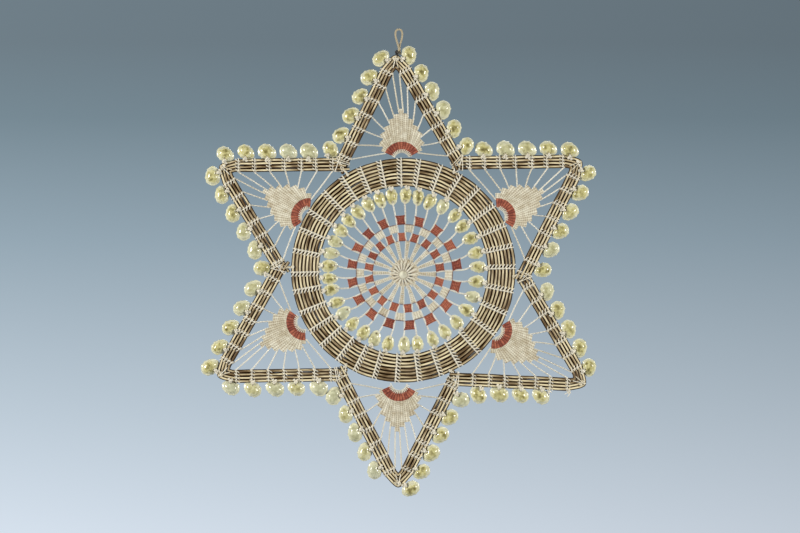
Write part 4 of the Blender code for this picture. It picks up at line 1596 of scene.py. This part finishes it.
    def build(self) -> None:
        """Weaving, threads and white edges of the six fans."""
        rng = np.random.default_rng(31)
        stretched: list[np.ndarray] = []
        edges: list[np.ndarray] = []
        for index in range(len(POINTS)):
            self.weave(index)
            stretched.extend(self.thread_paths(index))
            edges.extend(self.fringe_paths(index))
        tones = [rng.uniform(0.3, 0.8) for _ in stretched]
        self.shop.sew("fan_threads", stretched, self.thread, step=0.9 * MM, tones=tones)
        self.shop.sew("fan_edges", edges, 1.1 * MM, step=0.8 * MM, sides=5)


@dataclass
class CentreWeb:
    """Needle-woven wheel of red and pale squares round a knotted hub."""

    shop: Workshop
    hub: float = 14.0 * MM
    spokes_end: float = 31.7 * MM
    inner_square: float = 8.6 * MM
    pale_square: float = 7.9 * MM
    outer_square: float = 9.5 * MM
    dome: float = 6.0 * MM
    thick: float = 0.8 * MM
    pairing: float = 1.7
    stitches: int = 60
    knob_place: tuple[float, float] = (-1.4 * MM, -2.2 * MM)
    knob_reach: float = 4.2 * MM
    pit_reach: float = 8.4 * MM
    pit_spread: float = 2.4 * MM
    pit_depth: float = 0.9 * MM
    golden_angle: float = 137.5
    cowrie_ends: float = 16.6 * MM

    def corner(self, number: int) -> float:
        """Clock angle of a spoke."""
        return self.shop.layout.spoke(number, self.shop.layout.web_crowding)

    def square(self, draft: MeshDraft, left: float, right: float, low: float, high: float, dye: float,
               rng: np.random.Generator, low_spread: float = 0.0) -> None:
        """Add one woven square with pinched sides between two spokes and two rounds.

        Args:
            draft: the mesh that it goes into.
            left: clock angle of its left side.
            right: clock angle of its right side.
            low: reach of its inner edge.
            high: reach of its outer edge.
            dye: 1 for red thread, 0 for cream.
            rng: source of the differences between squares.
            low_spread: how far each side's inner corner stands out, in degrees.
        """
        centre = self.shop.layout.web_centre
        share = np.linspace(0, 1, 11)
        along, across = np.meshgrid(share, share, indexing="ij")
        pinch = 0.09 * np.sin(math.pi * along)
        bulge = 0.06 * (high - low) * np.sin(math.pi * across)
        spread = 0.5 + (across - 0.5) * (1 - 2 * pinch)
        lean = rng.uniform(-2.0, 2.0) * (along - 0.5) if dye else 0.0
        widened = 2 * low_spread * (1 - along) * (across - 0.5)
        turn = np.radians(left + (right - left) * spread + widened + lean)
        reach = low + (high - low) * along + np.where(along > 0.5, -bulge, bulge) * np.abs(2 * along - 1)
        ridge = wave(across * 3)
        weft = wave(along * 5)
        edge = np.minimum(np.minimum(across, 1 - across), np.minimum(along, 1 - along)) * 8
        height = self.thick * (0.48 + 0.30 * ridge + 0.22 * weft) * np.sqrt(np.clip(edge, 0.2, 1.0))
        plane = centre + fan_out(turn) * reach[:, :, None]
        crest = 0.1 + 0.45 * ridge + 0.4 * weft
        tone = 0.5 + rng.uniform(-0.25, 0.25) + 0.4 * (weft - 0.5) + rng.uniform(-0.3, 0.3, along.shape)
        draft.add_sheet(plane, height, tone, crest, dye)

    def squares(self) -> bpy.types.Object:
        """Three rounds of squares, with the woven disc and the dome of the hub."""
        rng = np.random.default_rng(91)
        draft = MeshDraft("tone", "crest", "dye")
        pale_start = self.spokes_end + self.inner_square
        outer_start = pale_start + self.pale_square
        for column in range(self.shop.layout.inner_cowries // 2):
            left = self.corner(2 * column)
            right = self.corner(2 * column + 1)
            following = self.corner(2 * column + 2)
            if following < right:
                following += 360.0
            self.square(draft, left, right, self.spokes_end, pale_start, 1.0, rng, self.pairing)
            self.square(draft, right, following, pale_start, outer_start, 0.0, rng)
            pair = (right + self.pairing, following - self.pairing)
            for low, high in ((12.5 * MM, 22.0 * MM), (21.8 * MM, self.spokes_end)):
                self.square(draft, *pair, low, high, 0.0, rng)
            self.square(draft, left, right, outer_start, outer_start + self.outer_square, 1.0, rng)
        self.hub_disc(draft, rng)
        piece = draft.build("web_weaving", self.shop.woven)
        return self.shop.hand_over(piece, "woven_thread", "centre_web")

    def hub_disc(self, draft: MeshDraft, rng: np.random.Generator) -> None:
        """Add the woven disc, raised to a knotty dome in the middle."""
        centre = self.shop.layout.web_centre
        spokes = self.shop.layout.inner_cowries // 2
        reach = np.concatenate(((0.2 * MM,), np.arange(1.0, self.hub / MM, 0.45) * MM))
        angles = np.linspace(0, 360, spokes * 8, endpoint=False)
        turn = np.radians(angles)
        ridge = wave((angles - self.corner(0)) / 360 * 2 * spokes)[None, :]
        weft = wave(reach / (1.2 * MM))[:, None]
        lumps = np.array([wander(rng, len(angles), 26, True) for _ in reach])
        dome = bell(reach, self.dome)[:, None]
        edge = np.sqrt(np.clip((self.hub - reach) / (1.0 * MM), 0.1, 1.0))[:, None]
        between = (self.corner(0) + self.corner(1)) / 2
        gaps = np.cos((angles - between) / 360 * spokes * TURN)
        deeper = wave((angles - 95) / 360)
        plane = centre + fan_out(turn)[None] * reach[:, None, None]
        from_knob = np.linalg.norm(plane - centre - np.array(self.knob_place), axis=2)
        pits = bell(from_knob - self.pit_reach, self.pit_spread) * np.clip(gaps * 1.8 + 0.4, 0, 1)
        pits = np.clip(pits * (0.25 + 1.3 * deeper + 1.4 * lumps), 0, 1)
        height = self.thick * (0.4 + 0.45 * ridge + 0.15 * weft) * edge + dome * (0.5 + 0.4 * lumps) * MM
        height = height - self.pit_depth * pits
        knob = bell(from_knob, self.knob_reach, 4)
        height = height + 2.0 * MM * knob * np.cos(np.clip(from_knob / self.knob_reach, 0, 1) * 1.1)
        # Painted shade: the pits push the crest below 0 and lower the tone, and the disc's low base tone
        # stands for the shade under the spokes.
        crest = (0.05 + 0.5 * ridge + 0.2 * weft - 1.9 * pits) * (1 - knob) + 0.9 * knob
        tone = 0.1 + 1.0 * knob + 0.3 * lumps - 3.0 * pits
        grid = np.concatenate((raised(plane, height), raised(plane, height * -0.8)[::-1]), 0)
        draft.add_grid(grid, caps=True, tone=np.concatenate((tone, tone[::-1]), 0),
                       crest=np.concatenate((crest, crest[::-1]), 0), dye=0.0)

    def spoke_paths(self) -> list[np.ndarray]:
        """Paths of the cream spokes, from the hub to the inner ends of the cowries."""
        layout = self.shop.layout
        outer_end = self.spokes_end + self.inner_square + self.pale_square + self.outer_square
        tip_reach = layout.ring_inner - self.cowrie_ends
        spread = np.array((0.4, 0.6, 1.0, 1.0, 1.0, 1.0, 1.0, 1.0))
        gather = np.array((1.0, 0.7, 0.15, 0.0, 0.0, 0.0, 0.0, 0.0))
        paths = []
        for number in range(layout.inner_cowries):
            corner = self.corner(number)
            cowrie = layout.spoke(number, layout.cowrie_crowding)
            lean = -self.pairing if number % 2 == 0 else self.pairing
            middle = corner + (3.6 if lean > 0 else -3.6)
            angles = (middle, middle, corner + 1.2 * lean, corner + lean, corner, corner)
            pale_start = self.spokes_end + self.inner_square
            reaches = (4.8 * MM, 8.6 * MM, 17.0 * MM, self.spokes_end, pale_start, outer_end)
            points = [lift(layout.web_centre + clock(angle) * reach, max(0.0, 1.9 * MM - 0.13 * reach))
                      for angle, reach in zip(angles, reaches)]
            tip = layout.ring_centre + clock(cowrie) * tip_reach
            points.append(lift(tip, 0.6 * MM))
            points.append(lift(layout.ring_centre + clock(cowrie) * (tip_reach + 2.6 * MM), 2.6 * MM))
            for shift in (-0.42, 0.42):
                bent = np.array(points)
                aside = clockwise(clock(corner)) * shift * MM
                bent[:, 0] += aside[0] * spread + self.knob_place[0] * gather
                bent[:, 2] += aside[1] * spread + self.knob_place[1] * gather
                paths.append(flowing(bent, 4))
        return paths

    def round_paths(self) -> list[np.ndarray]:
        """Thin red threads that join the squares' corners in two rounds."""
        centre = self.shop.layout.web_centre
        outer_start = self.spokes_end + self.inner_square + self.pale_square
        paths = []
        for reach in (self.spokes_end + 0.2 * MM, outer_start + 0.2 * MM):
            count = self.shop.layout.inner_cowries
            paths.append(np.array([lift(centre + clock(self.corner(number)) * reach, 0.0)
                                   for number in range(count)]))
        return paths

    def hub_stitches(self) -> list[np.ndarray]:
        """Short raised stitches over the dome."""
        centre = self.shop.layout.web_centre
        rng = np.random.default_rng(17)
        paths = []
        for number in range(self.stitches):
            angle = number * self.golden_angle
            reach = (9.0 + 6.0 * math.sqrt((number + 0.5) / self.stitches)) * MM
            height = (0.55 + 1.2 * math.exp(-((reach / (1.6 * self.dome)) ** 2))) * MM
            drawn = np.array(self.knob_place) * max(0.0, 1.0 - reach / self.hub)
            middle = centre + drawn + clock(angle) * reach
            turn = clock(angle + rng.uniform(-28, 28)) * rng.uniform(1.1, 1.9) * MM
            paths.append(flowing([lift(middle - turn, height * 0.5), lift(middle, height + 0.3 * MM),
                                  lift(middle + turn, height * 0.5)], 3))
        return paths

    def build(self) -> None:
        """Weaving, spokes, rounds and hub."""
        rng = np.random.default_rng(47)
        self.squares()
        spokes = self.spoke_paths()
        tones = [rng.uniform(0.3, 0.8) for _ in spokes]
        self.shop.sew("web_spokes", spokes, 0.95 * MM, step=0.9 * MM, sides=6, tones=tones)
        piece = self.shop.threads.make("web_rounds", self.round_paths(), self.shop.red, 0.9 * MM,
                                       closed=(0, 1))
        self.shop.hand_over(piece, "woven_thread")
        tones = [rng.uniform(-0.1, 0.8) for _ in range(self.stitches)]
        self.shop.sew("hub_stitches", self.hub_stitches(), 1.25 * MM, step=0.7 * MM, sides=6, tones=tones)


@dataclass
class Hanger:
    """The doubled hanging cord, the dark knot beside its foot and the bare thread ends."""

    shop: Workshop
    cord: float = 2.2 * MM
    route_mm: tuple[tuple[float, float, float], ...] = (
        (1.6, 0.0, -24.0), (1.4, 0.7, -21.5), (0.9, 1.25, -18.8), (1.0, 1.0, -16.2), (1.5, 0.5, -13.6),
        (2.6, 0.1, -10.5), (3.4, 0.0, -7.0), (3.7, 0.0, -3.6), (3.2, 0.0, -0.8), (1.8, 0.0, 0.8),
        (0.0, 0.0, 1.1), (-1.6, 0.0, 0.7), (-2.8, 0.0, -0.8), (-3.2, 0.0, -3.6), (-2.8, 0.0, -7.0),
        (-1.8, -0.1, -10.5), (-0.9, -0.5, -13.6), (-0.2, -1.0, -16.2), (0.2, -1.25, -18.8),
        (-0.6, -0.8, -21.5), (-1.1, 0.0, -24.0))

    def loop(self) -> bpy.types.Object:
        """The hanging cord along its route."""
        route = [np.array(point) * MM for point in self.route_mm]
        path = flowing(route, 4)
        piece = self.shop.threads.make("hanging_cord", [path], self.shop.tan, self.cord * 0.96, lay=4.2 * MM,
                                       flatness=0.8, step=0.5 * MM, sides=12, tones=(0.2,))
        self.shop.hand_over(piece, "cream_thread", "hanging_loop")
        return piece

    def knot(self) -> bpy.types.Object:
        """Dark thread wound into a knot, with an end that runs across the tip."""
        low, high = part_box("loop_knot")
        centre = np.array((low + high) / 2) + np.array((2.3, -1.0, 0.0)) * MM
        half = np.array((high - low) / 2) * np.array((1.2, 1.0, 1.1))
        turn = np.linspace(0, 1, 70)
        swing = np.pi * (0.06 + 0.88 * turn)
        winding = turn * TURN * 5
        ball = np.stack((np.sin(swing) * np.cos(winding), np.sin(swing) * np.sin(winding), np.cos(swing)), -1)
        wound = ball * (half - 0.45 * MM) + centre
        end = flowing([centre + np.array(place) * MM
                       for place in ((0.6, -1.2, -1.6), (3.0, -1.9, -4.6), (5.4, -1.6, -6.6))], 6)
        inner = knot_path(centre, half[0] * 0.62)
        piece = self.shop.threads.make("dark_knot", [wound, end, inner], self.shop.dark, 1.15 * MM,
                                       step=0.6 * MM, closed=(2,))
        return self.shop.hand_over(piece, "dark_thread", "loop_knot")

    def bare_ends(self) -> None:
        """Knotted thread ends where two cowries are lost from the lower right point."""
        layout = self.shop.layout
        leg = layout.leg(2, Side.RIGHT)
        bundle = Bundle()
        for distance, hook in ((3.0, 1.0), (23.0, -0.6)):
            root = leg.place(distance * MM, layout.leg_width - 0.8 * MM)
            for shift, reach in ((0.0, 6.5), (1.3, 4.2), (-1.0, 3.0)):
                side = leg.along * (shift * MM)
                points = [lift(root + side, 1.9 * MM), lift(root + side + leg.out * 2.4 * MM, 0.9 * MM),
                          lift(root + side * 1.8 + leg.out * (reach * 0.75) * MM, 0.2 * MM),
                          lift(root + side * 2.4 + leg.along * hook * MM + leg.out * reach * MM, 0.5 * MM)]
                bundle.add(flowing(points, 5))
            bundle.add_closed(knot_path(lift(root + leg.out * 2.6 * MM, 0.8 * MM), 0.9 * MM))
        self.shop.sew("bare_thread_ends", bundle.paths, 1.0 * MM, step=0.6 * MM, closed=bundle.closed)

    def build(self) -> None:
        """Cord, the knot beside its foot and the bare ends."""
        self.loop()
        self.knot()
        self.bare_ends()


@dataclass(frozen=True)
class Studio:
    """Camera, backdrop, floor and soft lights."""

    focal: float = 100.0
    sensor: float = 36.0
    frame_width: float = 0.8
    photo_middle: tuple[float, float] = (0.0014, -0.236)
    backdrop_distance: float = 4.5
    floor_drop: float = 2.2

    @property
    def distance(self) -> float:
        """How far the camera stands from the star, so that one pixel of 800 is one millimetre."""
        return self.focal / self.sensor * self.frame_width

    def camera(self) -> None:
        """Long lens, straight on."""
        data = bpy.data.cameras.new("camera")
        data.lens = self.focal
        data.sensor_width = self.sensor
        item = link_object("camera", data)
        item.location = (self.photo_middle[0], -self.distance, self.photo_middle[1])
        item.rotation_euler = (math.pi / 2, 0.0, 0.0)
        bpy.context.scene.camera = item

    def backdrop(self) -> None:
        """Blue-grey sheet far behind the star, deeper at the top and pale at the bottom. It glows instead of
        being lit, so its colours and its brightness, which falls off to the right, are painted light.
        """
        mesh = bpy.data.meshes.new("backdrop")
        half, low, high = 6.0, -5.0, 5.0
        corners = [(-half, 0, low), (half, 0, low), (half, 0, high), (-half, 0, high)]
        mesh.from_pydata(corners, [], [(0, 1, 2, 3)])
        material = bpy.data.materials.new("backdrop")
        material.use_nodes = True
        canvas = Canvas(material.node_tree)
        material.node_tree.nodes.remove(material.node_tree.nodes["Principled BSDF"])
        places = canvas.node("ShaderNodeTexCoord").outputs["Object"]
        aside, _, height = canvas.node("ShaderNodeSeparateXYZ", {0: places}).outputs
        share = canvas.out("ShaderNodeMapRange", {"Value": height, "From Min": -0.806, "From Max": 0.806})
        ramp = canvas.node("ShaderNodeValToRGB", {0: share})
        stops = ((0.0, (0.61, 0.685, 0.77)), (0.21, (0.475, 0.555, 0.63)), (0.55, (0.275, 0.356, 0.418)),
                 (0.78, (0.168, 0.230, 0.271)), (0.92, (0.145, 0.191, 0.223)))
        while len(ramp.color_ramp.elements) < len(stops):
            ramp.color_ramp.elements.new(0.5)
        for element, (place, colour) in zip(ramp.color_ramp.elements, stops):
            element.position = place
            element.color = (*colour, 1.0)
        # Painted light: the glowing sheet is brighter on the left and dimmer on the right.
        strength = canvas.out("ShaderNodeMapRange", {"Value": aside, "From Min": -1.2, "From Max": 1.2,
                                                     "To Min": 1.1, "To Max": 0.88})
        glow = canvas.node("ShaderNodeEmission", {"Color": ramp.outputs[0], "Strength": strength})
        canvas.feed(material.node_tree.nodes["Material Output"], Surface=glow.outputs[0])
        mesh.materials.append(material)
        item = link_object("backdrop", mesh)
        item.location = (self.photo_middle[0], self.backdrop_distance, self.photo_middle[1])

    def floor(self) -> None:
        """Plain pale floor, far below the star."""
        mesh = bpy.data.meshes.new("floor")
        mesh.from_pydata([(-6, -6, 0), (6, -6, 0), (6, 6, 0), (-6, 6, 0)], [], [(0, 1, 2, 3)])
        material = bpy.data.materials.new("floor")
        material.use_nodes = True
        shader = material.node_tree.nodes["Principled BSDF"]
        Canvas(material.node_tree).feed(shader, Base_Color=(0.7, 0.72, 0.74, 1.0), Roughness=0.9)
        mesh.materials.append(material)
        item = link_object("floor", mesh)
        item.location = (0.0, 0.0, -self.floor_drop)

    def light(self, name: str, place: tuple[float, float, float], size: float, power: float,
              colour: Colour) -> None:
        """Square soft light that faces the middle of the star."""
        data = bpy.data.lights.new(name, "AREA")
        data.shape = "SQUARE"
        data.size = size
        data.energy = power
        data.color = colour
        item = link_object(name, data)
        item.location = place
        aim = np.array((self.photo_middle[0], 0.0, self.photo_middle[1])) - np.array(place)
        flat = math.hypot(aim[0], aim[1])
        heading = math.atan2(aim[1], aim[0]) - math.pi / 2
        item.rotation_euler = (math.atan2(flat, -aim[2]), 0.0, heading)

    def build(self) -> None:
        """Camera, stage and lights."""
        self.camera()
        self.backdrop()
        self.floor()
        self.light("left_light", (-2.0, -1.15, 0.1), 0.45, 50.0, (1.0, 0.98, 0.93))
        self.light("right_light", (2.0, -1.15, 0.1), 0.45, 43.0, (1.0, 0.98, 0.93))
        self.light("back_fill", (0.6, 2.2, 1.2), 1.2, 24.0, (0.95, 0.98, 1.0))
        world = bpy.data.worlds.new("studio")
        world.use_nodes = True
        background = world.node_tree.nodes["Background"]
        Canvas(world.node_tree).feed(background, Color=(0.62, 0.70, 0.78, 1.0), Strength=0.2)
        bpy.context.scene.world = world
        bpy.context.scene.view_settings.view_transform = "Standard"


def main() -> None:
    """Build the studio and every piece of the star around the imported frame."""
    logging.basicConfig(level=logging.INFO, format="%(message)s")
    for item in list(bpy.data.objects):
        bpy.data.objects.remove(item)
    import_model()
    Studio().build()
    shop = Workshop.open()
    Hanger(shop).build()
    RibRing(shop).build()
    PointLegs(shop).build()
    Fans(shop).build()
    CentreWeb(shop).build()
    Cowries(shop).build()


if __name__ == "__main__":
    main()
